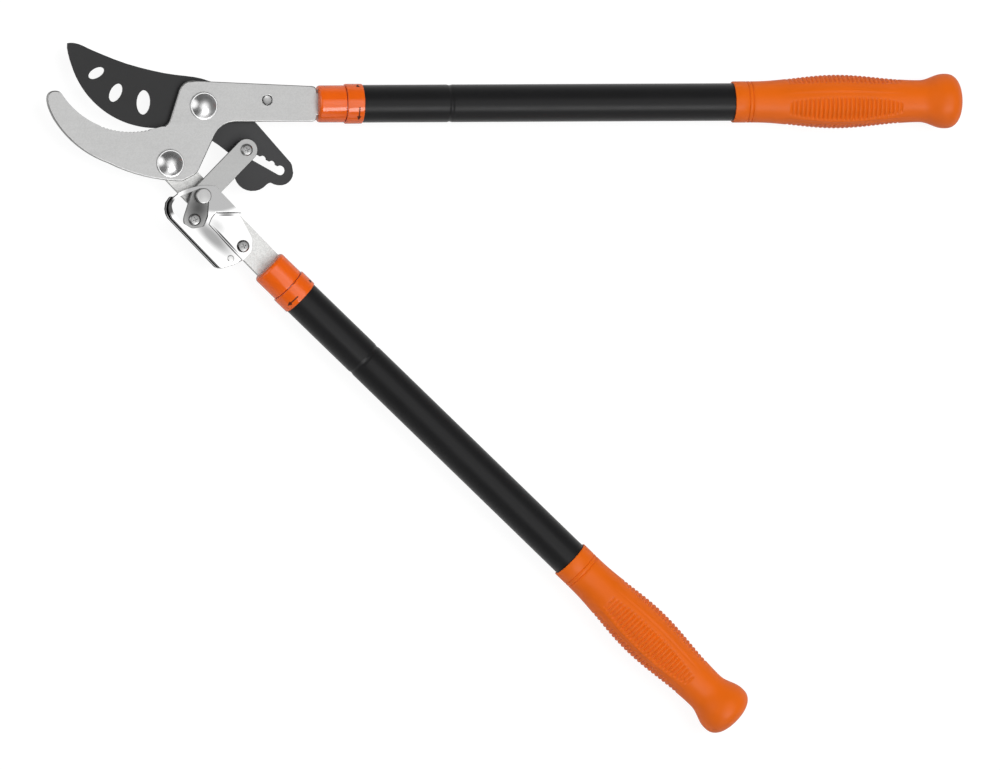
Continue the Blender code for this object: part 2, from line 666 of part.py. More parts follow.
def make_link(parent):
    """Two-armed link; the long arm carries the pin, the short arm the spring."""
    pin = polar((0.0, 0.0), LINK_LENGTH, LINK_ANGLE)
    spring = polar((0.0, 0.0), SPRING_ARM_LENGTH, SPRING_ARM_ANGLE)
    holes = [circle((0.0, 0.0), RIVET_SHANK_RADIUS + FIT, SCREW_SEGMENTS),
             circle(pin, LINK_PIN_RADIUS + FIT, SCREW_SEGMENTS),
             circle(spring, SCREW_SHANK_RADIUS + FIT, SCREW_SEGMENTS)]
    plate("link", strip([pin, (0.0, 0.0), spring], LINK_HALF_WIDTH, 5.0), LINK_BACK, LINK_FRONT, SILVER,
          parent, holes)
    head_seat = LINK_FRONT + FIT
    nut_front = BLADE_BACK - FIT
    nut_back = nut_front - SMALL_NUT_HEIGHT
    cross_head_screw("link_pin_screw", parent, pin, head_seat, nut_back - BOLT_END, LINK_PIN_RADIUS)
    plate("link_pin_nut", hexagon(pin, SMALL_NUT_ACROSS_FLATS + 2.0), nut_back, nut_front, ZINC, parent,
          [circle(pin, LINK_PIN_RADIUS + FIT, SCREW_SEGMENTS)])
    sleeve = LINK_PIN_RADIUS + FIT
    collar = [(sleeve, HOOK_BACK), (sleeve + 1.9, HOOK_BACK), (sleeve + 1.9, LINK_BACK - FIT),
              (sleeve, LINK_BACK - FIT)]
    turned("link_pin_collar", collar, "Z", SCREW_SEGMENTS, ZINC, parent, closed=True, centre=pin)
    hook_height = spring_height()
    nut_top = hook_height - SPRING_WIRE_RADIUS - SPRING_HOOK_CLEARANCE
    cross_head_screw("spring_screw", parent, spring, head_seat, nut_top - SMALL_NUT_HEIGHT - BOLT_END,
                     SCREW_SHANK_RADIUS)
    plate("spring_nut", hexagon(spring, SMALL_NUT_ACROSS_FLATS), nut_top - SMALL_NUT_HEIGHT, nut_top, ZINC,
          parent, [circle(spring, SCREW_SHANK_RADIUS + FIT, SCREW_SEGMENTS)])


def spring_height():
    """Height of the spring's axis: its hook passes under the link with the spring's own clearance."""
    return LINK_BACK - SPRING_WIRE_RADIUS - SPRING_HOOK_CLEARANCE - 1.0


def make_lower_bar(parent):
    """Bar of the lower handle, narrowed to a tang inside the cap."""
    half = BAR_HALF_WIDTH
    half_tang = TANG_WIDTH / 2
    shoulder = LOWER_CAP_START + CAP_WALL - 0.4
    tang_end = LOWER_CAP_START + TANG_DEPTH
    axis = LOWER_AXIS_OFFSET
    nose = arc((0.0, 0.0), BAR_END_RADIUS, 100, 260, 12)
    body = rounded([
        (*nose[-1], 0),
        (14.0, -half, 20.0),
        (shoulder, axis - BAR_OUTER_SIDE, 0),
        (shoulder, axis - half_tang, 0),
        (tang_end, axis - half_tang, 2.0),
        (tang_end, axis + half_tang, 2.0),
        (shoulder, axis + half_tang, 0),
        (shoulder, axis + BAR_INNER_SIDE, 0),
        (14.0, half, 20.0),
        (*nose[0], 0),
    ])
    holes = [circle((0.0, 0.0), PIVOT_SHANK_RADIUS + FIT, BOLT_SEGMENTS),
             circle(LINK_PIVOT, RIVET_SHANK_RADIUS + FIT, SCREW_SEGMENTS),
             circle(GUARD_SCREW_PLACE, SCREW_SHANK_RADIUS + FIT, SCREW_SEGMENTS)]
    holes += tang_holes(LOWER_CAP_START, LOWER_AXIS_OFFSET)
    plate("lower_bar", nose + body[1:-1], BAR_BACK, BAR_FRONT, SILVER, parent, holes)


def make_link_pivot(parent):
    """Tall rivet that the link turns on, with the spacer under the link."""
    seat = GUARD_FRONT + FIT
    tail_front = BAR_BACK - FIT
    rounding = 1.6
    head = arc((RIVET_HEAD_RADIUS - rounding, seat + RIVET_HEAD_HEIGHT - rounding), rounding, 0, 90, 3)
    tail_back = tail_front - RIVET_TAIL_HEIGHT
    profile = [(0.0, tail_back), (RIVET_TAIL_RADIUS * 0.7, tail_back),
               (RIVET_TAIL_RADIUS, tail_back + RIVET_TAIL_HEIGHT * 0.6), (RIVET_TAIL_RADIUS, tail_front),
               (RIVET_SHANK_RADIUS, tail_front), (RIVET_SHANK_RADIUS, seat), (RIVET_HEAD_RADIUS, seat)]
    profile += head + [(0.0, seat + RIVET_HEAD_HEIGHT)]
    turned("link_rivet", profile, "Z", BOLT_SEGMENTS, ZINC, parent, centre=LINK_PIVOT)
    bore = RIVET_SHANK_RADIUS + FIT
    spacer = [(bore, BAR_FRONT + FIT), (SPACER_RADIUS, BAR_FRONT + FIT),
              (SPACER_RADIUS, LINK_BACK - FIT), (bore, LINK_BACK - FIT)]
    turned("link_spacer", spacer, "Z", BOLT_SEGMENTS, ZINC, parent, closed=True, centre=LINK_PIVOT)


# Guard, in the lower handle's frame

def spring_screw_place():
    """Where the spring's screw stands at rest, on the link's short arm."""
    return polar(LINK_PIVOT, SPRING_ARM_LENGTH, SPRING_ARM_ANGLE)


def moved_right(line, distance):
    """An open line of corners moved to the right of its direction, its corners mitred."""
    points = [Vector(point) for point in line]
    sides = []
    for first, second in zip(points, points[1:]):
        along = (second - first).normalized()
        sides.append(Vector((along.y, -along.x)))
    moved = []
    for i, point in enumerate(points):
        before = sides[max(i - 1, 0)]
        after = sides[min(i, len(sides) - 1)]
        moved.append(tuple(point + (before + after) * (distance / (1 + before.dot(after)))))
    return moved


def guard_high_outline(inset=0.0, open_reach=0.0):
    """Raised part of the guard. Inset moves its walled sides in; open_reach moves its free sides out."""
    spring, rivet = spring_screw_place(), LINK_PIVOT
    post, screw = SPRING_POST_PLACE, GUARD_SCREW_PLACE
    free = arc_through(beside(spring, -23.2 - open_reach, 5.3),
                       beside(rivet, -8.4 - open_reach, 1.6 + open_reach / 2),
                       beside(rivet, 2.5 - open_reach, 12.1 + open_reach), 8)
    walled = [
        beside(screw, -19.1, 15.8),
        beside(spring, 8.2, 15.0),
        beside(spring, 8.6, 9.8),
        beside(spring, 10.4, 5.2),
        beside(post, 7.7, 5.6),
        beside(post, 5.7, -0.6),
        beside(post, 1.8, -7.5),
        beside(post, 0.3, -10.0),
        beside(post, -2.4, -11.2),
        beside(spring, -13.9, -11.7),
        beside(spring, -17.5, -10.4),
        beside(spring, -20.5, -8.2),
        beside(spring, -23.3, -4.2),
        beside(spring, -24.0, 0.4),
    ]
    walled = moved_right(walled, inset)
    walled[0] = beside(walled[0], 0.0, open_reach)
    return free + walled


GUARD_FREE_SIDES = 9


def fold_bevel(piece, reach, free, width, top):
    """Rounds the top edges of a prism, except its first `free` sides."""
    mesh = piece.data
    weights = mesh.attributes.new("bevel_weight_edge", "FLOAT", "EDGE")
    count = len(reach)
    spots = {}
    for vertex in mesh.vertices:
        if abs(vertex.co.z - top * MM) < 1e-7:
            flat = (vertex.co.x / MM, vertex.co.y / MM)
            spots[vertex.index] = min(range(count), key=lambda k: math.dist(reach[k], flat))
    for edge in mesh.edges:
        a, b = edge.vertices
        if a in spots and b in spots:
            first, second = sorted((spots[a], spots[b]))
            neighbours = second - first == 1 or (first == 0 and second == count - 1)
            if neighbours and not (second <= free and second - first == 1):
                weights.data[edge.index].value = 1.0
    bevel = piece.modifiers.new("fold", "BEVEL")
    bevel.limit_method = "WEIGHT"
    bevel.width = width * MM
    bevel.segments = 3


def make_guard(parent):
    """Stamped cover: raised over link and spring, folded down on its outer side, flat on the bar."""
    outline = guard_high_outline()
    guard = plate("guard", outline, GUARD_FOOT, GUARD_FRONT, CHROME, parent)
    fold_bevel(guard, outline, GUARD_FREE_SIDES, GUARD_BEND_RADIUS, GUARD_FRONT)
    inner = guard_high_outline(GUARD_THICKNESS, 6.0)
    hollow = plate("guard_hollow", inner, GUARD_FOOT - 5.0, GUARD_BACK, None, parent)
    fold_bevel(hollow, inner, GUARD_FREE_SIDES, GUARD_BEND_RADIUS - GUARD_THICKNESS, GUARD_BACK)
    flange_back = BAR_FRONT + FIT
    spring, rivet = spring_screw_place(), LINK_PIVOT
    post, screw = SPRING_POST_PLACE, GUARD_SCREW_PLACE
    flange = plate("guard_flange", rounded([
        (*beside(screw, -19.5, 15.6), 0), (*beside(spring, 7.6, 14.8), 0), (*beside(spring, 8.0, 9.6), 0),
        (*beside(spring, 9.9, 4.6), 0), (*beside(post, 9.1, 5.0), 2.0), (*beside(screw, 7.5, 1.6), 5.0),
        (*beside(screw, 0.9, 9.0), 9.0), (*beside(screw, -9.6, 12.6), 9.0)]),
        flange_back, flange_back + GUARD_THICKNESS, None, parent)
    far = LOWER_CAP_START - LINK_PIVOT[0]
    under = plate("guard_under", [
        beside(spring, -12.0, far), beside(spring, -12.0, 5.3), beside(spring, 8.7, 4.9),
        beside(spring, 8.7, 3.5), beside(post, far, 3.5), beside(post, far, far)],
        GUARD_FOOT - 5.0, flange_back, None, parent)
    nose = plate("guard_nose", [
        beside(spring, -32.0, far), beside(spring, -32.0, 5.3), beside(spring, -11.0, 5.3),
        beside(spring, -11.0, far)], GUARD_FOOT - 5.0, GUARD_BACK, None, parent)
    window = plate("guard_window", rounded([
        (*beside(rivet, 6.3, 0.4), 2.0), (*beside(rivet, 4.0, 4.8), 2.0),
        (*beside(rivet, -1.0, 6.6), 2.0), (*beside(rivet, -6.4, 0.6), 6.0),
        (*beside(spring, -19.9, 6.2), 1.0), (*beside(spring, -21.9, 2.2), 2.0),
        (*beside(spring, -20.9, -4.3), 5.0), (*beside(spring, -15.9, -7.4), 6.0),
        (*beside(spring, -5.8, -8.4), 8.0), (*beside(spring, 2.9, -6.6), 5.0),
        (*beside(spring, 8.5, 1.2), 3.0),
        (*beside(spring, 5.5, 8.6), 6.0)]), 0.0, GUARD_FRONT + 3.0, None, parent)
    screw_hole = turned("guard_screw_hole", [(0.0, -3.0), (SCREW_SHANK_RADIUS + FIT, -3.0),
                                             (SCREW_SHANK_RADIUS + FIT, 6.0), (0.0, 6.0)],
                        "Z", SCREW_SEGMENTS, None, parent, centre=GUARD_SCREW_PLACE)
    post_hole = turned("guard_post_hole", [(0.0, 4.0), (POST_SHANK_RADIUS + FIT, 4.0),
                                           (POST_SHANK_RADIUS + FIT, 14.0), (0.0, 14.0)],
                       "Z", SCREW_SEGMENTS, None, parent, centre=SPRING_POST_PLACE)
    combine(guard, hollow, "DIFFERENCE")
    combine(guard, flange, "UNION")
    for cutter in (under, nose, window, screw_hole, post_hole):
        combine(guard, cutter, "DIFFERENCE")


def make_guard_fasteners(parent):
    """Screw that holds the guard on the bar and post that holds the spring's lower end."""
    seat = BAR_FRONT + FIT + GUARD_THICKNESS + FIT
    cross_head_screw("guard_screw", parent, GUARD_SCREW_PLACE, seat, BAR_BACK - BOLT_END, SCREW_SHANK_RADIUS,
                     head=SCREW_HEAD_RADIUS + 0.2)
    x, y = SPRING_POST_PLACE
    bottom = spring_height() - SPRING_WIRE_RADIUS - SPRING_HOOK_CLEARANCE
    head = GUARD_FRONT + FIT
    collar = GUARD_BACK - FIT
    profile = [(0.0, bottom - 1.2), (POST_HEAD_RADIUS, bottom - 1.2), (POST_HEAD_RADIUS, bottom),
               (POST_SHANK_RADIUS, bottom), (POST_SHANK_RADIUS, spring_height() + 1.6),
               (POST_HEAD_RADIUS, spring_height() + 1.6), (POST_HEAD_RADIUS, collar),
               (POST_SHANK_RADIUS, collar), (POST_SHANK_RADIUS, head), (POST_HEAD_RADIUS, head),
               (POST_HEAD_RADIUS * 0.8, head + 0.7), (0.0, head + 0.9)]
    turned("spring_post", profile, "Z", SCREW_SEGMENTS, ZINC, parent, centre=(x, y))


def spring_points():
    """Centre line of the tension spring: a hook round each post, a straight lead and the curls between."""
    start = Vector(spring_screw_place())
    end = Vector(SPRING_POST_PLACE)
    along = (end - start).normalized()
    across = Vector((-along.y, along.x))
    length = (end - start).length
    height = spring_height()

    def place(u, v, w):
        flat = start + along * u + across * v
        return Vector((flat.x, flat.y, height + w))

    hook_start = SCREW_SHANK_RADIUS + SPRING_WIRE_RADIUS + SPRING_HOOK_CLEARANCE
    hook_end = POST_SHANK_RADIUS + SPRING_WIRE_RADIUS + SPRING_HOOK_CLEARANCE
    coil_start, coil_end = SPRING_LEAD, length - SPRING_TAIL
    points = [place(hook_start * math.cos(math.radians(a)), hook_start * math.sin(math.radians(a)), 0.0)
              for a in range(-60, -331, -30)]
    points.append(place(hook_start + 1.9, 1.2, 0.0))
    points.append(place(coil_start - 3.0, 0.6, 0.3))
    points.append(place(coil_start - 1.3, -0.6, 1.6))
    curls = SPRING_CURLS * SPRING_POINTS_PER_CURL
    for i in range(curls + 1):
        turn = 2 * math.pi * i / SPRING_POINTS_PER_CURL
        u = coil_start + (coil_end - coil_start) * i / curls
        points.append(place(u, SPRING_COIL_RADIUS * math.sin(turn), SPRING_COIL_RADIUS * math.cos(turn)))
    points.append(place(coil_end + 1.1, 1.2, 1.0))
    points += [place(length + hook_end * math.cos(math.radians(a)), hook_end * math.sin(math.radians(a)), 0.0)
               for a in range(150, -121, -30)]
    return points


def least_gap(points, radius, skip):
    """Least free space between stretches of the wire that are not neighbours."""
    least = 1e9
    for i, a in enumerate(points):
        for b in points[i + skip:]:
            least = min(least, (a - b).length - 2 * radius)
    return least


def make_spring(parent):
    points = spring_points()
    print("tension_spring least gap to itself: %.2f mm"
          % least_gap(points, SPRING_WIRE_RADIUS, SPRING_POINTS_PER_CURL // 2))
    curve = bpy.data.curves.new("tension_spring", "CURVE")
    curve.dimensions = "3D"
    curve.bevel_depth = SPRING_WIRE_RADIUS * MM
    curve.bevel_resolution = 1
    curve.use_fill_caps = True
    spline = curve.splines.new("POLY")
    spline.points.add(len(points) - 1)
    for spot, point in zip(spline.points, points):
        spot.co = (*(point * MM), 1.0)
    spring = bpy.data.objects.new("tension_spring", curve)
    spring.parent = parent
    curve.materials.append(make_material("tension_spring", ZINC))
    bpy.context.scene.collection.objects.link(spring)


# Telescopic handles, each in its own frame with X along the handle from the cap's face

def cross_pin_cutters(name, parent, radius):
    """Upright cylinders at the places of the two pins, longer than the tube is thick."""
    reach = OUTER_TUBE_RADIUS + 6.0
    profile = [(0.0, -reach), (radius, -reach), (radius, reach), (0.0, reach)]
    return [turned(f"{name}_pin_hole_{i}", profile, "Z", SCREW_SEGMENTS, None, parent, centre=(place, 0.0),
                   first=PIN_HOLE_TURN) for i, place in enumerate(CROSS_PIN_PLACES)]


def make_cap(side, parent, plate_back, plate_front, slot_sides):
    """Cap at the head end of the inner tube, slotted for the plate that passes into it."""
    bore = INNER_TUBE_RADIUS + FIT
    profile = [(0.0, 0.0)]
    profile += [(CAP_RADIUS - CAP_ROUNDING + CAP_ROUNDING * math.sin(math.radians(a)),
                 CAP_ROUNDING - CAP_ROUNDING * math.cos(math.radians(a))) for a in (0, 30, 60, 90)]
    profile += [(CAP_RADIUS, CAP_LENGTH - 0.4), (CAP_RADIUS - 0.4, CAP_LENGTH), (bore, CAP_LENGTH),
                (bore, CAP_WALL), (0.0, CAP_WALL)]
    cap = turned(side + "_cap", profile, "X", TUBE_SEGMENTS, ORANGE, parent)
    slot = box_cutter(side + "_cap_slot", (-2.0, -slot_sides[0] - FIT, plate_back - FIT),
                      (CAP_WALL + 1.0, slot_sides[1] + FIT, plate_front + FIT), parent)
    combine(cap, slot, "DIFFERENCE")


def make_tang_parts(side, parent, plate_back, plate_front):
    """Filler between tang and inner tube, and the two pins that hold tang, filler and tube together."""
    bore = INNER_TUBE_RADIUS - INNER_TUBE_WALL
    radius = bore - FIT
    start = CAP_WALL + 2 * FIT
    end = TANG_DEPTH + 4.0
    plug = turned(side + "_tang_plug", [(0.0, start), (radius, start), (radius, end), (0.0, end)], "X",
                  INNER_SEGMENTS, NYLON, parent)
    slot = box_cutter(side + "_tang_slot", (start - 2.0, -TANG_WIDTH / 2 - FIT, plate_back - FIT),
                      (TANG_DEPTH + FIT, TANG_WIDTH / 2 + FIT, plate_front + FIT), parent)
    combine(plug, slot, "DIFFERENCE")
    for hole in cross_pin_cutters(side + "_plug", parent, CROSS_PIN_RADIUS + FIT):
        combine(plug, hole, "DIFFERENCE")
    reach = INNER_TUBE_RADIUS - 0.25
    for name, place in zip(("near", "far"), CROSS_PIN_PLACES):
        turned(f"{side}_cross_pin_{name}",
               [(0.0, -reach), (CROSS_PIN_RADIUS, -reach), (CROSS_PIN_RADIUS, reach), (0.0, reach)],
               "Z", SCREW_SEGMENTS, ZINC, parent, centre=(place, 0.0), first=PIN_HOLE_TURN)


def make_inner_tube(side, parent):
    bore = INNER_TUBE_RADIUS - INNER_TUBE_WALL
    start = CAP_WALL + FIT
    tube = turned(side + "_inner_tube", [(bore, start), (INNER_TUBE_RADIUS, start),
                                         (INNER_TUBE_RADIUS, INNER_TUBE_END), (bore, INNER_TUBE_END)],
                  "X", TUBE_SEGMENTS, ALUMINIUM, parent, closed=True)
    for hole in cross_pin_cutters(side + "_tube", parent, CROSS_PIN_RADIUS + FIT):
        combine(tube, hole, "DIFFERENCE")


def make_lock(side, parent):
    """Plug with a cone on the inner tube, the split collet round the cone, and the screw that keeps it."""
    bore = INNER_TUBE_RADIUS - INNER_TUBE_WALL
    flange_start = INNER_TUBE_END + FIT
    flange_end = flange_start + LOCK_FLANGE_THICKNESS
    collet_start = flange_end + FIT
    collet_end = collet_start + COLLET_LENGTH
    plug_start = INNER_TUBE_END - LOCK_PLUG_DEPTH
    plug = [(0.0, plug_start), (bore - FIT, plug_start), (bore - FIT, flange_start),
            (INNER_TUBE_RADIUS, flange_start), (INNER_TUBE_RADIUS, flange_end),
            (LOCK_SPINDLE_RADIUS, flange_end), (LOCK_SPINDLE_RADIUS, collet_start + LOCK_CONE_START),
            (LOCK_CONE_RADIUS, collet_end), (0.0, collet_end)]
    turned(side + "_lock_plug", plug, "X", INNER_SEGMENTS, NYLON, parent)
    collet_outer = OUTER_TUBE_RADIUS - OUTER_TUBE_WALL - FIT
    collet = [(LOCK_SPINDLE_RADIUS + FIT, collet_start), (collet_outer, collet_start),
              (collet_outer, collet_end), (LOCK_CONE_RADIUS + FIT, collet_end),
              (LOCK_SPINDLE_RADIUS + FIT, collet_start + LOCK_CONE_START)]
    sleeve = turned(side + "_lock_collet", collet, "X", INNER_SEGMENTS, NYLON, parent, closed=True)
    slit = box_cutter(side + "_collet_slit", (collet_start - 2.0, -COLLET_SLIT / 2, 0.0),
                      (collet_end + 2.0, COLLET_SLIT / 2, OUTER_TUBE_RADIUS + 2.0), parent)
    combine(sleeve, slit, "DIFFERENCE")
    screw_start = collet_end + FIT
    screw = [(0.0, screw_start), (bore - FIT, screw_start), (bore - FIT, screw_start + 1.2),
             (5.0, screw_start + 1.2), (4.4, screw_start + LOCK_SCREW_HEAD),
             (0.0, screw_start + LOCK_SCREW_HEAD)]
    turned(side + "_lock_screw", screw, "X", INNER_SEGMENTS, ZINC, parent)


def make_outer_tube(side, parent):
    """Sliding tube with the crimped groove that guides it on the inner tube and stops the collet."""
    bore = OUTER_TUBE_RADIUS - OUTER_TUBE_WALL
    start = CAP_LENGTH + FIT + RING_COLLAR + FIT

    def wall(radius, sign):
        points = []
        for step in range(-2, 3):
            share = math.cos(math.pi * step / 4) ** 2
            points.append((radius - GROOVE_DEPTH * share, GROOVE_PLACE + GROOVE_LENGTH / 2 * step / 2))
        return points[::sign]

    profile = [(OUTER_TUBE_RADIUS, start)] + wall(OUTER_TUBE_RADIUS, 1)
    profile += [(OUTER_TUBE_RADIUS, OUTER_TUBE_END), (bore, OUTER_TUBE_END)] + wall(bore, -1) + [(bore, start)]
    turned(side + "_outer_tube", profile, "X", TUBE_SEGMENTS, BLACK, parent, closed=True)


def make_twist_ring(side, parent):
    """Ring at the outer tube's mouth: a guide collar on the inner tube and a lip over the outer tube."""
    guide = INNER_TUBE_RADIUS + FIT
    lip = OUTER_TUBE_RADIUS + RING_LIP_GAP
    start = CAP_LENGTH + FIT
    end = start + RING_LENGTH
    profile = [(guide, start), (RING_RADIUS - 0.6, start), (RING_RADIUS, start + 0.6),
               (RING_RADIUS, end - 0.5), (RING_RADIUS - 0.3, end), (lip, end),
               (lip, start + RING_COLLAR), (guide, start + RING_COLLAR)]
    turned(side + "_twist_ring", profile, "X", TUBE_SEGMENTS, ORANGE, parent, closed=True)


def make_end_plug(side, parent):
    """Plug that closes the far end of the outer tube inside the grip."""
    radius = OUTER_TUBE_RADIUS - OUTER_TUBE_WALL - FIT
    flange = OUTER_TUBE_END + FIT
    profile = [(0.0, OUTER_TUBE_END - END_PLUG_DEPTH), (radius, OUTER_TUBE_END - END_PLUG_DEPTH),
               (radius, flange), (OUTER_TUBE_RADIUS, flange), (OUTER_TUBE_RADIUS, flange + END_PLUG_FLANGE),
               (0.0, flange + END_PLUG_FLANGE)]
    turned(side + "_end_plug", profile, "X", INNER_SEGMENTS, NYLON, parent)


def swell(place, start, end, low, high):
    """Smooth step from one radius to another between two places."""
    share = min(1.0, max(0.0, (place - start) / (end - start)))
    return low + (high - low) * (0.5 - 0.5 * math.cos(math.pi * share))


def grip_radius(place):
    """Radius of the grip at a distance from its neck."""
    if place < GRIP_BELLY_PLACE:
        return swell(place, GRIP_NECK_LENGTH, GRIP_BELLY_PLACE, GRIP_NECK_RADIUS, GRIP_BELLY_RADIUS)
    if place < GRIP_WAIST_PLACE:
        return swell(place, GRIP_BELLY_PLACE, GRIP_WAIST_PLACE, GRIP_BELLY_RADIUS, GRIP_WAIST_RADIUS)
    return swell(place, GRIP_WAIST_PLACE, GRIP_POMMEL_PLACE, GRIP_WAIST_RADIUS, GRIP_POMMEL_RADIUS)


def make_grip(side, parent):
    """Grip sleeve with a thin grooved neck, a belly, a waist and a rounded pommel."""
    outer = [(GRIP_NECK_RADIUS - 0.4, GRIP_START), (GRIP_NECK_RADIUS, GRIP_START + 0.5)]
    for groove in GRIP_GROOVE_PLACES:
        for offset, depth in ((-0.5, 0.0), (0.0, GRIP_GROOVE_DEPTH), (0.5, 0.0)):
            outer.append((GRIP_NECK_RADIUS - depth, GRIP_START + groove + offset))
    round_start = GRIP_LENGTH - GRIP_END_ROUNDING
    stretches = GRIP_STRETCHES
    for step in range(stretches + 1):
        place = GRIP_NECK_LENGTH + (round_start - GRIP_NECK_LENGTH) * step / stretches
        outer.append((grip_radius(place), GRIP_START + place))
    end_radius = grip_radius(round_start)
    for angle in (35, 65, 90):
        outer.append((end_radius - GRIP_END_ROUNDING * (1 - math.cos(math.radians(angle))),
                      GRIP_START + round_start + GRIP_END_ROUNDING * math.sin(math.radians(angle))))
    bore = OUTER_TUBE_RADIUS + FIT
    bottom = GRIP_START + GRIP_LENGTH - GRIP_END_WALL
    profile = outer + [(0.0, GRIP_START + GRIP_LENGTH), (0.0, bottom), (bore, bottom), (bore, GRIP_START)]
    bm = bmesh.new()
    shell = profile[:len(outer) + 1]
    liner = profile[len(outer) + 1:]
    turned_mesh(bm, liner + shell, "X", TUBE_SEGMENTS, False)
    finish_piece(side + "_grip", bm, GRIP_ORANGE, parent)


def make_handle(side, parent, plate_back, plate_front, slot_sides):
    make_cap(side, parent, plate_back, plate_front, slot_sides)
    make_tang_parts(side, parent, plate_back, plate_front)
    make_inner_tube(side, parent)
    make_lock(side, parent)
    make_outer_tube(side, parent)
    make_twist_ring(side, parent)
    make_end_plug(side, parent)
    make_grip(side, parent)


def set_down(lopper):
    """Moves the lopper so that it stands on Z = 0 with its bounding box centred on the origin."""
    bpy.context.view_layer.update()
    graph = bpy.context.evaluated_depsgraph_get()
    spots = []
    for piece in bpy.context.scene.objects:
        if piece.type in {"MESH", "CURVE"} and not piece.hide_render:
            solid = piece.evaluated_get(graph)
            spots += [piece.matrix_world @ vertex.co for vertex in solid.to_mesh().vertices]
            solid.to_mesh_clear()
    low = Vector([min(spot[i] for spot in spots) for i in range(3)])
    high = Vector([max(spot[i] for spot in spots) for i in range(3)])
    lopper.location = (-(low.x + high.x) / 2, -(low.y + high.y) / 2, -low.z)
    bpy.context.view_layer.update()


def main():
    clear_scene()
    lopper = empty("lopper")
    blade_pivot = empty("blade_pivot", parent=lopper)
    handle_pivot = empty("handle_pivot", (*HANDLE_PIVOT, 0.0), parent=lopper)
    lower_handle = empty("lower_handle", turn=OPEN_ANGLE, parent=handle_pivot)
    link_pivot = empty("link_pivot", (*LINK_PIVOT, 0.0), parent=lower_handle)
    upper_axis = empty("upper_axis", (ARM_END + ARM_TO_CAP, UPPER_AXIS_OFFSET, 0.0), parent=lopper)
    lower_axis = empty("lower_axis", (LOWER_CAP_START, LOWER_AXIS_OFFSET, 0.0), parent=lower_handle)

    pin_from_bar = Vector(LINK_PIVOT) + Vector(polar((0.0, 0.0), LINK_LENGTH, LINK_ANGLE))
    turn = math.radians(OPEN_ANGLE)
    pin = (HANDLE_PIVOT[0] + pin_from_bar.x * math.cos(turn) - pin_from_bar.y * math.sin(turn),
           HANDLE_PIVOT[1] + pin_from_bar.x * math.sin(turn) + pin_from_bar.y * math.cos(turn))

    make_hook_plate(lopper)
    make_blade(blade_pivot, pin)
    make_pivot_bolt("blade_pivot", blade_pivot, BLADE_BACK)
    make_pivot_bolt("handle_pivot", handle_pivot, BAR_BACK)
    make_stop_pin(lopper)
    make_lower_bar(lower_handle)
    make_link(link_pivot)
    make_link_pivot(lower_handle)
    make_guard(lower_handle)
    make_guard_fasteners(lower_handle)
    make_spring(lower_handle)
    make_handle("upper", upper_axis, HOOK_BACK, HOOK_FRONT, (TANG_WIDTH / 2, TANG_WIDTH / 2))
    make_handle("lower", lower_axis, BAR_BACK, BAR_FRONT, (BAR_OUTER_SIDE, BAR_INNER_SIDE))
    set_down(lopper)
    for holder in (blade_pivot, handle_pivot, link_pivot, upper_axis, lower_axis):
        print(holder.name, [round(value, 6) for value in holder.matrix_world.translation])


main()
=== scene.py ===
"""Dresses the CAD frame of a telescopic ratchet lopper: steel head, coated tubes, moulded grips."""

import json
import math

import bmesh
import bpy
from bpy.props import FloatProperty, FloatVectorProperty, IntProperty, PointerProperty
from mathutils import Matrix, Vector

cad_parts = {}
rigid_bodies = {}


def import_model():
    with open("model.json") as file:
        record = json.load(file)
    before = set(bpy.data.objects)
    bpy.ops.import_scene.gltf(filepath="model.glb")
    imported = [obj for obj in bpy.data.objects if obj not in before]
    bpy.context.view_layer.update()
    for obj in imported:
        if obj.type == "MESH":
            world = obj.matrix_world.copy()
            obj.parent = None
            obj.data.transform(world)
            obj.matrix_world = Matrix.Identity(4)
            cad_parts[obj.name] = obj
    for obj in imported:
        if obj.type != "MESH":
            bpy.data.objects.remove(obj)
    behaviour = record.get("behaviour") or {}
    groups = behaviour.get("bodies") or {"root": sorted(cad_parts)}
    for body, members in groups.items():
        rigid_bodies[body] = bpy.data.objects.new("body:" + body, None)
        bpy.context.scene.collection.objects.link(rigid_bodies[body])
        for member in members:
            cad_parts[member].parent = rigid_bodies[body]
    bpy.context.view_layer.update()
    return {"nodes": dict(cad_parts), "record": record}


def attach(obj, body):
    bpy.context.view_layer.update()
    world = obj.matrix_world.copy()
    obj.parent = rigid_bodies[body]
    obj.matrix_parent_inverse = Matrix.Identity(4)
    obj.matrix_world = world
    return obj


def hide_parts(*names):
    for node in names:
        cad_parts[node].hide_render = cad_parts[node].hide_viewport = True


bl_info = {
    "name": "Telescopic Lopper",
    "version": (1, 0, 0),
    "blender": (4, 5, 0),
    "location": "View3D > Sidebar > Lopper",
    "description": "Builds the visible pieces, finishes and studio of a telescopic lopper around its CAD frame",
    "category": "Object",
}

for leftover in list(bpy.context.scene.objects):
    bpy.data.objects.remove(leftover)
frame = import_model()
NODES = frame["nodes"]

MM = 0.001
PIVOT_PLANE = 20.55  # height of the pivot plane over the floor, mm
BLADE_PIVOT = Vector((-231.95, 213.533, PIVOT_PLANE))
HANDLE_PIVOT = Vector((-257.85, 170.633, PIVOT_PLANE))
LINK_PIVOT = Vector((-234.183, 146.193, PIVOT_PLANE))
OPEN_TURN = math.radians(-43.9)  # the lower handle, from the upper one


def on_plane(origin, turn):
    """A frame that lies in the pivot plane: x along the handle, z up."""
    return Matrix.Translation(origin * MM) @ Matrix.Rotation(turn, 4, "Z")


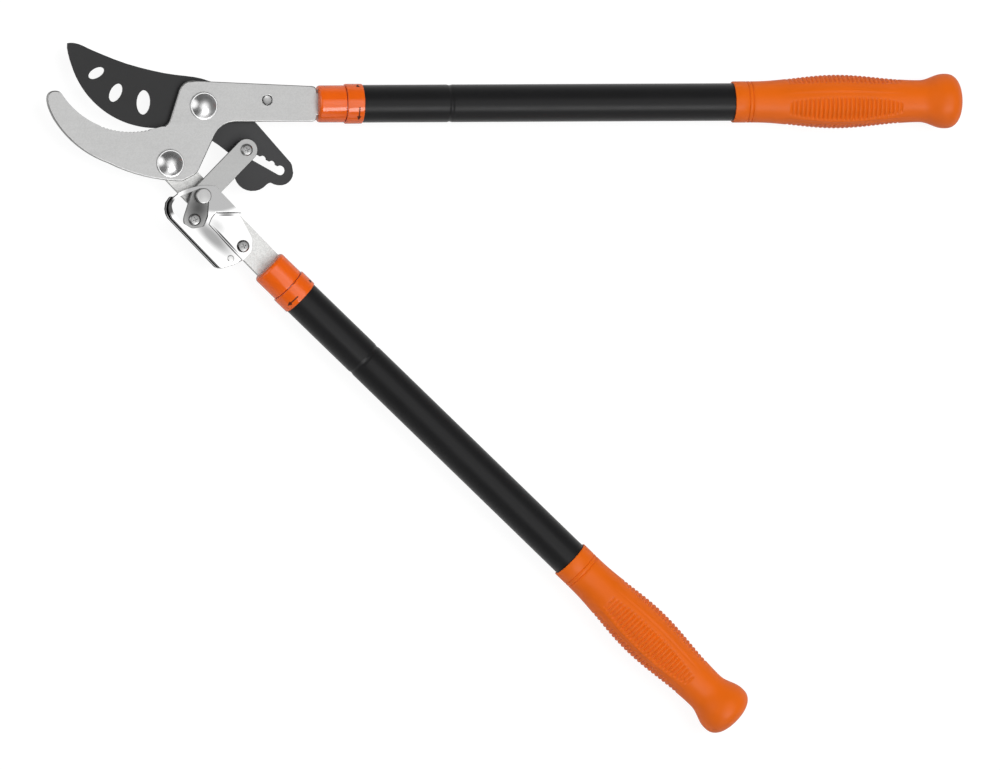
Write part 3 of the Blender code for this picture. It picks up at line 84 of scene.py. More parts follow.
HEAD = on_plane(BLADE_PIVOT, 0.0)
LOWER = on_plane(HANDLE_PIVOT, OPEN_TURN)
UPPER_AXIS = on_plane(Vector((-144.65, 214.733, PIVOT_PLANE)), 0.0)
LOWER_AXIS = on_plane(Vector((-182.746, 93.501, PIVOT_PLANE)), OPEN_TURN)
LATHED = 28  # smooth shading of lathed pieces, up to this turn in degrees
STAND = Matrix.Rotation(math.radians(-90), 4, "Y")  # turns a lathed piece's x axis up


# ---------------------------------------------------------------- modelling helpers


def deselect():
    """Leaves edit mode and selects nothing."""
    if bpy.context.object and bpy.context.object.mode != "OBJECT":
        bpy.ops.object.mode_set(mode="OBJECT")
    bpy.ops.object.select_all(action="DESELECT")


def activate(obj):
    """Makes obj the only selected and active object."""
    deselect()
    obj.select_set(True)
    bpy.context.view_layer.objects.active = obj


def edit(obj, select="DESELECT"):
    """Opens obj in edit mode with all or none of it selected."""
    activate(obj)
    bpy.ops.object.mode_set(mode="EDIT")
    bpy.ops.mesh.select_mode(type="VERT")
    bpy.ops.mesh.select_all(action=select)


def choose(obj, kind, test):
    """Selects the vertices (kind VERT) or edges (kind EDGE) that pass test, in edit mode."""
    bpy.ops.mesh.select_mode(type=kind)
    bpy.ops.mesh.select_all(action="DESELECT")
    mesh = bmesh.from_edit_mesh(obj.data)
    for element in mesh.verts if kind == "VERT" else mesh.edges:
        if test(element):
            element.select_set(True)
    mesh.select_flush_mode()
    bmesh.update_edit_mesh(obj.data)


def settle():
    """Moves the active object's place, turn and scale into its mesh."""
    bpy.ops.object.transform_apply(location=True, rotation=True, scale=True)


def place(obj, matrix):
    """Puts obj where matrix says and moves that place into its mesh."""
    activate(obj)
    obj.matrix_world = matrix
    settle()


def smooth(obj, angle=30):
    """Smooth shading up to a turn of angle degrees."""
    activate(obj)
    bpy.ops.object.shade_smooth_by_angle(angle=math.radians(angle))


def apply_modifier(obj, name, kind, **values):
    """Adds a modifier with these values and applies it."""
    activate(obj)
    modifier = obj.modifiers.new(name, kind)
    for key, value in values.items():
        setattr(modifier, key, value)
    bpy.ops.object.modifier_apply(modifier=modifier.name)


def weld(obj, distance):
    """Merges the points closer than distance, in metres, and turns the faces outwards."""
    edit(obj, "SELECT")
    bpy.ops.mesh.remove_doubles(threshold=distance)
    bpy.ops.mesh.normals_make_consistent(inside=False)
    deselect()


def shift(x=0.0, y=0.0, z=0.0):
    """A move by these numbers of mm."""
    return Matrix.Translation((x * MM, y * MM, z * MM))


def in_plane(x, y):
    """A place in a plate's own plane, from mm."""
    return Vector((x * MM, y * MM, 0))


def copy_of(obj, name):
    """A copy with its own mesh."""
    twin = bpy.data.objects.new(name, obj.data.copy())
    bpy.context.scene.collection.objects.link(twin)
    return twin


def finish_piece(obj, body, slot, finish, *nodes):
    """Hands a finished piece to its body and its finish, and hides the CAD nodes that it stands for. slot is not
    used.
    """
    obj.data.materials.clear()
    obj.data.materials.append(MATERIALS[finish])
    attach(obj, body)
    if nodes:
        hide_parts(*nodes)


def merged_copy(node, name):
    """A copy of a CAD node with its loose triangles merged into whole faces."""
    obj = copy_of(NODES[node], name)
    activate(obj)
    bpy.ops.mesh.customdata_custom_splitnormals_clear()
    edit(obj, "SELECT")
    bpy.ops.mesh.remove_doubles(threshold=1e-6)
    bpy.ops.mesh.dissolve_limited(angle_limit=math.radians(0.4))
    deselect()
    return obj


UPRIGHT, FLAT = 0.05, 0.98  # how far the normal of a wall, and of a plate face, points up or down


def is_rim(edge):
    """True where a flat plate face meets an upright wall, at the top or the underside."""
    if len(edge.link_faces) != 2:
        return False
    tops = sorted((face.normal.z for face in edge.link_faces), key=abs)
    return abs(tops[0]) < UPRIGHT and abs(tops[1]) > FLAT


def soften_rims(obj, width, segments=3, skip=None):
    """Rounds a plate's rims by width mm, as tumbling leaves them. skip tells the places that stay sharp."""
    edit(obj)
    choose(obj, "EDGE", lambda edge: is_rim(edge) and not (skip and any(skip(v.co) for v in edge.verts)))
    bpy.ops.mesh.bevel(offset=width * MM, segments=segments, affect="EDGES", clamp_overlap=False)
    deselect()
    flat_shading(obj, 32)


def flat_shading(obj, angle):
    """Smooth shading that keeps a plate's broad faces flat."""
    smooth(obj, angle)
    apply_modifier(obj, "flat_faces", "WEIGHTED_NORMAL", keep_sharp=True, weight=80)


def arc(centre_x, centre_r, radius, start, end, steps):
    """Profile points on an arc, angles in degrees from the local x axis."""
    return [
        (
            centre_x + radius * math.cos(math.radians(start + (end - start) * i / steps)),
            centre_r + radius * math.sin(math.radians(start + (end - start) * i / steps)),
        )
        for i in range(steps + 1)
    ]


def rounded(points, steps=5):
    """A profile whose points may carry a corner radius as their third number."""
    line = []
    for i, point in enumerate(points):
        if len(point) < 3 or i in (0, len(points) - 1):
            line.append(Vector(point[:2]))
            continue
        corner = Vector(point[:2])
        before = (Vector(points[i - 1][:2]) - corner).normalized()
        after = (Vector(points[i + 1][:2]) - corner).normalized()
        half = before.angle(after) / 2
        reach = point[2] / math.tan(half)
        centre = corner + (before + after).normalized() * (point[2] / math.sin(half))
        first = corner + before * reach - centre
        turn = first.angle_signed(corner + after * reach - centre)
        for k in range(steps + 1):
            step = first.copy()
            step.rotate(Matrix.Rotation(-turn * k / steps, 2))
            line.append(centre + step)
    return [tuple(p) for p in line]


def spun(name, profile, steps=96, closed=False, sweep=360.0):
    """Draws a profile of (x, radius) in mm point by point and spins it round the local x axis."""
    deselect()
    bpy.ops.mesh.primitive_plane_add(size=MM, location=(0, 0, 0))
    obj = bpy.context.object
    obj.name = name
    bpy.ops.object.mode_set(mode="EDIT")
    bpy.ops.mesh.select_mode(type="VERT")
    bpy.ops.mesh.select_all(action="SELECT")
    bpy.ops.mesh.merge(type="CENTER")
    points = [Vector((x, 0, r)) * MM for x, r in profile]
    bpy.ops.transform.translate(value=points[0])
    line = points + points[:1] if closed else points
    for here, there in zip(line, line[1:]):
        bpy.ops.mesh.extrude_region_move(TRANSFORM_OT_translate={"value": there - here})
    bpy.ops.mesh.select_all(action="SELECT")
    bpy.ops.mesh.remove_doubles(threshold=1e-8)
    bpy.ops.mesh.spin(steps=steps, angle=math.radians(sweep), center=(0, 0, 0), axis=(1, 0, 0))
    bpy.ops.mesh.select_all(action="SELECT")
    bpy.ops.mesh.remove_doubles(threshold=1e-7)
    if sweep == 360.0:
        bpy.ops.mesh.normals_make_consistent(inside=False)
    bpy.ops.object.mode_set(mode="OBJECT")
    return obj


# ---------------------------------------------------------------- finishes


def new_group(name, inputs, outputs):
    """A shader node group, what it is given and what it hands on."""
    group = bpy.data.node_groups.new(name, "ShaderNodeTree")
    for label, kind, default in inputs:
        socket = group.interface.new_socket(label, in_out="INPUT", socket_type=kind)
        socket.default_value = default
    for label, kind in outputs:
        group.interface.new_socket(label, in_out="OUTPUT", socket_type=kind)
    return group, group.nodes.new("NodeGroupInput").outputs, group.nodes.new("NodeGroupOutput").inputs


def node(tree, kind, inputs=None, **values):
    """A node with its values set. An input may be given a value or another node's output."""
    made = tree.nodes.new(kind)
    for key, value in values.items():
        setattr(made, key, value)
    for key, value in (inputs or {}).items():
        if isinstance(value, bpy.types.NodeSocket):
            tree.links.new(value, made.inputs[key])
        else:
            made.inputs[key].default_value = value
    return made


def math_node(tree, operation, first, second):
    """The output of a Math node."""
    return node(tree, "ShaderNodeMath", {0: first, 1: second}, operation=operation).outputs[0]


def turned_flat(tree, vector, angle):
    """A vector turned round z."""
    return node(tree, "ShaderNodeVectorRotate", {"Vector": vector, "Angle": angle}, rotation_type="Z_AXIS").outputs[0]


def soft_step(tree, value, start, end, low, high):
    """Goes smoothly from low to high as value goes from start to end."""
    ends = {"Value": value, "From Min": start, "From Max": end, "To Min": low, "To Max": high}
    return node(tree, "ShaderNodeMapRange", ends, interpolation_type="SMOOTHSTEP").outputs[0]


def noise(tree, vector, scale, **values):
    """The output of a noise texture."""
    return node(tree, "ShaderNodeTexNoise", {"Vector": vector, "Scale": scale, **values}).outputs["Fac"]


FLOAT = "NodeSocketFloat"
VECTOR = "NodeSocketVector"


def surface_grain():
    """Fine two-scale grain: a height for bump and a mask that varies the finish."""
    group, given, result = new_group(
        "surface_grain",
        [("Vector", VECTOR, (0, 0, 0)), ("Fine Scale", FLOAT, 2500.0), ("Broad Scale", FLOAT, 60.0)],
        [("Height", FLOAT), ("Variation", FLOAT)],
    )
    fine = noise(group, given["Vector"], given["Fine Scale"], Detail=2.0, Roughness=0.6)
    broad = noise(group, given["Vector"], given["Broad Scale"], Detail=3.0)
    group.links.new(fine, result["Height"])
    group.links.new(broad, result["Variation"])
    return group


def blasted_sparkle():
    """Crystal specks of a blasted and plated sheet: a light and dark speck mask and a height."""
    group, given, result = new_group(
        "blasted_sparkle",
        [("Vector", VECTOR, (0, 0, 0)), ("Speck Scale", FLOAT, 1400.0)],
        [("Specks", FLOAT), ("Height", FLOAT)],
    )
    cells = node(group, "ShaderNodeTexVoronoi", {"Vector": given["Vector"], "Scale": given["Speck Scale"]})
    grey = node(group, "ShaderNodeSeparateColor", {"Color": cells.outputs["Color"]})
    group.links.new(grey.outputs[0], result["Specks"])
    group.links.new(grey.outputs[1], result["Height"])
    return group


def drawn_lines():
    """Long scratches left along one direction by drawing or grinding."""
    group, given, result = new_group(
        "drawn_lines",
        [("Vector", VECTOR, (0, 0, 0)), ("Scale", FLOAT, 900.0), ("Stretch", FLOAT, 40.0), ("Turn", FLOAT, 0.0)],
        [("Lines", FLOAT)],
    )
    turned = turned_flat(group, given["Vector"], given["Turn"])
    parts = node(group, "ShaderNodeSeparateXYZ", {0: turned})
    along = math_node(group, "DIVIDE", parts.outputs[0], given["Stretch"])
    joined = node(group, "ShaderNodeCombineXYZ", {0: along, 1: parts.outputs[1], 2: parts.outputs[2]})
    lines = noise(group, joined.outputs[0], given["Scale"], Detail=3.0, Roughness=0.7)
    group.links.new(lines, result["Lines"])
    return group


def soft_spot():
    """A mask for painted light and shade: it fades from 1 at a place to 0 at a distance from it, in metres."""
    group, given, result = new_group(
        "soft_spot",
        [
            ("Vector", VECTOR, (0, 0, 0)),
            ("Centre", VECTOR, (0, 0, 0)),
            ("Stretch", VECTOR, (1, 1, 0)),
            ("Turn", FLOAT, 0.0),
            ("Radius", FLOAT, 0.01),
            ("Core", FLOAT, 0.0),
        ],
        [("Mask", FLOAT)],
    )
    away = node(group, "ShaderNodeVectorMath", {0: given["Vector"], 1: given["Centre"]}, operation="SUBTRACT")
    turned = turned_flat(group, away.outputs[0], given["Turn"])
    scaled = node(group, "ShaderNodeVectorMath", {0: turned, 1: given["Stretch"]}, operation="MULTIPLY")
    distance = node(group, "ShaderNodeVectorMath", {0: scaled.outputs[0]}, operation="LENGTH")
    core = math_node(group, "MULTIPLY", given["Radius"], given["Core"])
    mask = soft_step(group, distance.outputs["Value"], core, given["Radius"], 1.0, 0.0)
    group.links.new(mask, result["Mask"])
    return group


GROUPS = {}


def group_node(tree, key, inputs):
    """Places one of the shared groups in a material."""
    return node(tree, "ShaderNodeGroup", inputs, node_tree=GROUPS[key])


def grey_ramp(tree, value, stops):
    """A ramp of greys over a value, from (place, level) stops."""
    made = node(tree, "ShaderNodeValToRGB", {0: value})
    ramp = made.color_ramp
    for element, (spot, level) in zip(ramp.elements, stops[:1] + stops[-1:]):
        element.position, element.color = spot, (level, level, level, 1)
    for spot, level in stops[1:-1]:
        ramp.elements.new(spot).color = (level, level, level, 1)
    return made.outputs[0]


def new_material(name, **shader):
    """A material with a Principled shader set to these constants."""
    material = bpy.data.materials.new(name)
    material.use_nodes = True
    tree = material.node_tree
    principled = tree.nodes["Principled BSDF"]
    for label, value in shader.items():
        principled.inputs[label.replace("_", " ")].default_value = value
    coordinates = tree.nodes.new("ShaderNodeTexCoord").outputs["Object"]
    return material, tree, principled, coordinates


def spread(tree, value, low, high):
    """Maps a 0 to 1 noise value to the range low to high."""
    return node(
        tree, "ShaderNodeMapRange", {"Value": value, "From Min": 0.3, "From Max": 0.7, "To Min": low, "To Max": high}
    ).outputs[0]


def with_painted_light(tree, place_on, tone, painted_light_places):
    """Paints light and shade into a tone: multiplies it at soft places, each given as (centre in m, stretch, turn,
    radius in mm, even share of it, factor).
    """
    for centre, stretch, turn, radius, core, factor in painted_light_places:
        spot = {"Vector": place_on, "Centre": centre, "Stretch": (*stretch, 0), "Turn": turn}
        mask = group_node(tree, "soft_spot", {**spot, "Radius": radius * MM, "Core": core}).outputs["Mask"]
        change = math_node(tree, "ADD", math_node(tree, "MULTIPLY", mask, factor - 1.0), 1.0)
        tone = math_node(tree, "MULTIPLY", tone, change)
    return tone


def tinted(tree, colour, factor):
    """A colour times a number that changes over the surface."""
    return node(
        tree, "ShaderNodeVectorMath", {0: colour[:3], "Scale": factor}, operation="SCALE"
    ).outputs[0]


def bumped(tree, height, strength, distance):
    """A normal from a height, distance in metres."""
    return node(
        tree, "ShaderNodeBump", {"Height": height, "Strength": strength, "Distance": distance}
    ).outputs[0]


def connect(tree, shader, colour, roughness, normal=None):
    """Links a finish's colour, roughness and normal to its shader."""
    tree.links.new(colour, shader.inputs["Base Color"])
    tree.links.new(roughness, shader.inputs["Roughness"])
    if normal is not None:
        tree.links.new(normal, shader.inputs["Normal"])


def plated_sheet(name, colour, roughness, contrast, turn=0.0, painted_light_places=(), relief=0.00003):
    """Blasted and plated steel sheet with sparkle, a trace of grinding lines, and painted shade at the listed places.
    """
    material, tree, shader, place_on = new_material(name, Metallic=1.0)
    specks = group_node(tree, "blasted_sparkle", {"Vector": place_on, "Speck Scale": 1500.0})
    grain = group_node(tree, "surface_grain", {"Vector": place_on, "Fine Scale": 2200.0, "Broad Scale": 45.0})
    lines = group_node(tree, "drawn_lines", {"Vector": place_on, "Scale": 700.0, "Turn": turn})
    tone = math_node(
        tree,
        "MULTIPLY",
        spread(tree, specks.outputs["Specks"], 1 - contrast, 1 + contrast),
        spread(tree, grain.outputs["Variation"], 0.985, 1.015),
    )
    connect(
        tree,
        shader,
        tinted(tree, colour, with_painted_light(tree, place_on, tone, painted_light_places)),
        spread(tree, lines.outputs["Lines"], roughness - 0.04, roughness + 0.05),
        bumped(tree, specks.outputs["Height"], 0.25, relief),
    )
    return material


def moulded(name, colour, roughness, grain_height, gloss=0.5, coat=0.0, sheen=0.0, painted_light_places=()):
    """Moulded plastic or a coat with a fine skin, slight tone changes and painted light at the listed places. gloss
    is the specular level.
    """
    material, tree, shader, place_on = new_material(
        name, Specular_IOR_Level=gloss, Coat_Weight=coat, Coat_Roughness=0.16, Sheen_Weight=sheen, Sheen_Roughness=0.4
    )
    grain = group_node(tree, "surface_grain", {"Vector": place_on, "Fine Scale": 3200.0, "Broad Scale": 40.0})
    tone = with_painted_light(tree, place_on, spread(tree, grain.outputs["Variation"], 0.97, 1.03), painted_light_places)
    connect(
        tree,
        shader,
        tinted(tree, colour, tone),
        spread(tree, grain.outputs["Variation"], roughness - 0.03, roughness + 0.03),
        bumped(tree, grain.outputs["Height"], 0.3, grain_height * MM),
    )
    return material


def turned_metal(name, colour, roughness, anisotropic=0.0, line_contrast=0.05, painted_light_places=(), painted_fold_reflections=(), wear=0.2):
    """Turned or drawn bright metal, with painted reflections at the listed places. Turned faces stretch a reflection
    across their rings.

    The painted fold reflections give the tone over the stored fold: dark and light stripes painted into the colour
    and the specular tint, for what a bright fold mirrors.
    """
    material, tree, shader, place_on = new_material(
        name, Metallic=1.0, Anisotropic=anisotropic, Anisotropic_Rotation=0.25 if anisotropic else 0.0
    )
    grain = group_node(tree, "surface_grain", {"Vector": place_on, "Fine Scale": 1800.0, "Broad Scale": 120.0})
    tone = with_painted_light(tree, place_on, spread(tree, grain.outputs["Height"], 1 - line_contrast, 1 + line_contrast), painted_light_places)
    # painted reflection: the fold's level picks dark and light stripes that scale the colour
    if painted_fold_reflections:
        fold = node(tree, "ShaderNodeAttribute", attribute_name="fold").outputs["Fac"]
        painted_fold_stripes = grey_ramp(tree, fold, painted_fold_reflections)
        tone = math_node(tree, "MULTIPLY", tone, painted_fold_stripes)
        tree.links.new(painted_fold_stripes, shader.inputs["Specular Tint"])
    rough = spread(tree, grain.outputs["Variation"], roughness * (1 - wear), roughness * (1 + wear))
    connect(tree, shader, tinted(tree, colour, tone), rough)
    if anisotropic:
        tangent = node(tree, "ShaderNodeTangent", direction_type="RADIAL", axis="Z")
        tree.links.new(tangent.outputs[0], shader.inputs["Tangent"])
    return material


MATERIALS = {}


def make_materials(colours):
    """Builds the node groups and one material for each finish."""
    GROUPS["surface_grain"] = surface_grain()
    GROUPS["blasted_sparkle"] = blasted_sparkle()
    GROUPS["drawn_lines"] = drawn_lines()
    GROUPS["soft_spot"] = soft_spot()

    def on_bar(x, y):
        """A place on the lower bar, given in mm from the handle's pivot."""
        return HANDLE_PIVOT * MM + Matrix.Rotation(OPEN_TURN, 3, "Z") @ in_plane(x, y)

    rivet, foot = LINK_PIVOT * MM, on_bar(42.1, -18.2)
    MATERIALS["hook_plate"] = plated_sheet("hook_plate_satin", colours.hook_steel, 0.38, 0.035, relief=0.00002)
    # painted shade: the lower bar is darkened round the link rivet, where the guard shades it
    MATERIALS["lower_bar"] = plated_sheet(
        "bar_blasted", colours.bar_steel, 0.38, 0.08, -OPEN_TURN, [(rivet, (1, 1), 0.0, 10.5, 0.3, 0.2)]
    )
    # painted shade: the link is darkened from its rivet to its foot, under the guard
    MATERIALS["link"] = plated_sheet(
        "link_tumbled",
        colours.link_steel,
        0.32,
        0.02,
        painted_light_places=[((rivet + foot) / 2, (1, 1), 0.0, 18.0, 0.0, 0.2), (foot, (1, 1), 0.0, 9.0, 0.0, 0.6)],
    )
    # painted light: the blade's coat is brightened in a broad patch towards its tail
    MATERIALS["blade"] = moulded(
        "blade_coating",
        colours.blade_coating,
        0.42,
        0.01,
        0.34,
        painted_light_places=[(BLADE_PIVOT * MM + Vector((0.045, -0.035, 0)), (1, 1), 0.0, 75.0, 0.0, 2.6)],
    )
    MATERIALS["guard"] = turned_metal(
        "guard_chrome",
        colours.chrome,
        0.07,
        line_contrast=0.01,
        # painted reflection: dark and light stripes over each fold, from the flat plate to the upright wall
        painted_fold_reflections=[
            (0.0, 0.05), (0.1, 0.05), (0.13, 1.0), (0.22, 1.0), (0.25, 0.05), (0.56, 0.05),
            (0.61, 1.0), (0.78, 1.0), (0.82, 0.35), (0.9, 0.35), (0.95, 1.0), (1.0, 1.0),
        ],
        painted_light_places=[
            # painted reflections: two broad grey patches
            (on_bar(36.0, 0.0) + Vector((0.0077, 0.0025, 0)), (0.58, 1), 0.0, 15.6, 0.78, 0.46),
            (on_bar(60.5, -18.2), (0.42, 1.5), -OPEN_TURN, 12.0, 0.2, 0.38),
            # painted shade and reflections: thin dark lines along the folds, each a small soft place drawn out along
            # one axis
            (on_bar(71.0, -11.7), (0.055, 1), -OPEN_TURN + 0.05, 0.95, 0.4, 0.1),
            (on_bar(71.0, -14.3), (0.05, 1), -OPEN_TURN + 0.07, 0.9, 0.4, 0.15),
            (on_bar(51.3, -8.0), (0.16, 1), -OPEN_TURN + 1.365, 1.1, 0.4, 0.12),
            (on_bar(57.0, 3.2), (0.09, 1), 0.0, 0.9, 0.45, 0.12),
            (on_bar(57.4, 3.2) + Vector((0, -0.0013, 0)), (0.11, 1), 0.0, 0.85, 0.4, 0.12),
            # painted reflections: two smaller darker patches
            (on_bar(59.0, -8.5), (0.6, 1), -OPEN_TURN, 7.0, 0.0, 0.72),
            (on_bar(20.0, -25.0), (1, 1), 0.0, 9.0, 0.55, 0.1),
        ],
    )
    MATERIALS["fastener"] = turned_metal("fastener_zinc", colours.zinc, 0.2)
    MATERIALS["dome"] = turned_metal("dome_turned", colours.chrome, 0.31, anisotropic=0.6)
    MATERIALS["rivet"] = turned_metal("rivet_turned", colours.hook_steel, 0.34, anisotropic=0.3)
    MATERIALS["pin_end"] = turned_metal("pin_end_zinc", colours.pin_steel, 0.3)
    MATERIALS["spring"] = turned_metal("spring_wire", colours.zinc, 0.2)
    MATERIALS["orange_gloss"] = moulded("orange_gloss", colours.gloss_orange, 0.15, 0.003, 0.42, coat=0.36)
    MATERIALS["orange_grip"] = moulded("orange_grip", colours.grip_orange, 0.42, 0.02, 0.2)
    MATERIALS["black_tube"] = moulded("tube_coating", colours.tube_coating, 0.34, 0.006, 0.16, sheen=0.24)
    MATERIALS["bare_tube"] = turned_metal("bare_aluminium", colours.bare_tube, 0.36, line_contrast=0.02, wear=0.04)
    MATERIALS["nylon"] = moulded("nylon", colours.nylon, 0.5, 0.02, 0.4)
    MATERIALS["ink"] = moulded("ring_ink", colours.ink, 0.5, 0.005, 0.2)


# ---------------------------------------------------------------- what a user may change


def length_property(label, text, default_mm):
    """A length in metres, shown in the scene's units."""
    return FloatProperty(
        name=label, description=text, default=default_mm * MM, min=0.0, unit="LENGTH", subtype="DISTANCE", precision=5
    )


def colour_property(label, text, default):
    """A linear colour."""
    return FloatVectorProperty(
        name=label, description=text, default=default, size=3, min=0.0, max=1.0, subtype="COLOR"
    )


class LopperSizes(bpy.types.PropertyGroup):
    """Sizes of the details that the CAD frame leaves to the dressed pieces."""

    rim_rounding: length_property("Rim Rounding", "Rounding on the hook plate's rims", 1.0)
    rib_depth: length_property("Rib Depth", "Depth of the grooves between the grip's ribs", 1.05)
    rib_pitch: length_property("Rib Pitch", "Distance from one groove to the next", 3.397)
    rib_count: IntProperty(name="Rib Grooves", description="Grooves along each grip", default=26, min=1, max=40)
    keel_height: length_property("Keel Height", "Height of the low crest between two rib panels", 0.8)
    wire_radius: length_property("Wire Radius", "Radius of the spring's wire", 0.55)


class LopperColours(bpy.types.PropertyGroup):
    """Base colours of the finishes, linear."""

    hook_steel: colour_property("Hook Steel", "Plated steel of the hook and arm", (0.46, 0.46, 0.457))
    bar_steel: colour_property("Bar Steel", "Plated steel of the lower bar", (0.62, 0.62, 0.61))
    link_steel: colour_property("Link Steel", "Tumbled steel of the link", (0.385, 0.385, 0.382))
    blade_coating: colour_property("Blade Coating", "Low-friction coat of the blade", (0.013, 0.013, 0.0135))
    pin_steel: colour_property("Pin Steel", "Turned face of the stop pin", (0.36, 0.36, 0.358))
    chrome: colour_property("Chrome", "Polished plate of the guard", (0.8, 0.8, 0.8))
    zinc: colour_property("Zinc", "Bright plate of bolts and screws", (0.66, 0.66, 0.655))
    gloss_orange: colour_property("Gloss Orange", "Caps and twist rings", (0.84, 0.12, 0.003))
    grip_orange: colour_property("Grip Orange", "Soft grips", (0.77, 0.133, 0.004))
    tube_coating: colour_property("Tube Coating", "Coat of the outer tubes", (0.011, 0.011, 0.0115))
    bare_tube: colour_property("Bare Tube", "Aluminium of the inner tubes", (0.6, 0.6, 0.61))
    nylon: colour_property("Nylon", "Hidden moulded plugs", (0.1, 0.1, 0.11))
    ink: colour_property("Ink", "Arrows printed on the rings", (0.09, 0.02, 0.006))


# ---------------------------------------------------------------- head


# The toothed edge, in mm from the blade's pivot: its ends and top, and the circle just outside its teeth.
TEETH_LEFT, TEETH_RIGHT, TEETH_TOP = -110, -39, 11
TEETH_CENTRE, TEETH_REACH = (-55.1, 46.4), 67.0


def on_teeth(spot):
    """True along the toothed inner edge of the hook, which stays sharp."""
    local = HEAD.inverted() @ spot / MM
    away = math.hypot(local.x - TEETH_CENTRE[0], local.y - TEETH_CENTRE[1])
    return TEETH_LEFT < local.x < TEETH_RIGHT and local.y < TEETH_TOP and away < TEETH_REACH


class LOPPER_OT_plates(bpy.types.Operator):
    """Rounds and finishes the hook plate, blade, link and lower bar"""

    bl_idname = "lopper.plates"
    bl_label = "Plates"

    def execute(self, context):
        rim = context.scene.lopper_sizes.rim_rounding / MM
        for name, cad, body, width, skip in (
            ("hook_plate_dressed", "hook_plate", "head", rim, on_teeth),
            ("blade_dressed", "blade", "blade", rim * 0.2, None),
            ("link_dressed", "link", "link", rim * 0.4, None),
            ("lower_bar_dressed", "lower_bar", "lower_handle", rim * 0.3, None),
        ):
            plate = merged_copy(cad, name)
            soften_rims(plate, width, 4 if skip else 3, skip)
            finish_piece(plate, body, cad, cad, cad)
        return {"FINISHED"}


GUARD_RIM = 0.00025  # mm. 0.25 was meant: at this width the guard's rims are in effect left sharp


class LOPPER_OT_guard(bpy.types.Operator):
    """Finishes the bent chrome guard"""

    bl_idname = "lopper.guard"
    bl_label = "Guard"

    def execute(self, context):
        guard = merged_copy("guard", "guard_dressed")
        soften_rims(guard, GUARD_RIM, 2)
        store_fold(guard)
        flat_shading(guard, 35)
        finish_piece(guard, "lower_handle", "guard", "guard", "guard")
        return {"FINISHED"}


FOLD_PER_DEGREE = 0.0072


def store_fold(obj):
    """Stores how far each vertex has gone over a fold: 1 on a flat, down to 0.37, then 0 on an upright wall."""
    fold = obj.data.attributes.new("fold", "FLOAT", "POINT")
    levels = [0.0] * len(obj.data.vertices)
    for face in obj.data.polygons:
        for index in face.vertices:
            levels[index] = max(levels[index], face.normal.z)
    for index, level in enumerate(levels):
        lean = math.degrees(math.acos(min(level, 1.0)))
        fold.data[index].value = 1.0 - lean * FOLD_PER_DEGREE if level > UPRIGHT else 0.0


def hex_nut(name, across_flats, height, bore):
    """A chamfered hexagon nut, made as a hexagonal bar cut to a turned barrel. It stands on z 0 and hangs down."""
    corner = across_flats / math.sqrt(3)
    drop = (corner - across_flats / 2) * 0.6
    face = corner - drop * 1.7
    barrel = spun(
        f"{name}_barrel",
        [
            (-height, bore + 0.4), (-height, face), (-height + drop, corner + 0.02), (-drop, corner + 0.02),
            (0, face), (0, bore + 0.4), (-0.4, bore), (-height + 0.4, bore),
        ],
        closed=True,
    )
    place(barrel, STAND)
    deselect()
    bpy.ops.mesh.primitive_cylinder_add(
        vertices=6, radius=corner * MM, depth=(height + 2) * MM, location=(0, 0, -height / 2 * MM)
    )
    nut = bpy.context.object
    nut.name = name
    settle()
    apply_modifier(nut, "barrel", "BOOLEAN", operation="INTERSECT", object=barrel, solver="EXACT")
    bpy.data.objects.remove(barrel)
    smooth(nut, 25)
    return nut


WASHER_SEAT, NUT_SEAT = -5.95, -6.25  # the washer's underside and the nut's top, over the pivot plane, mm


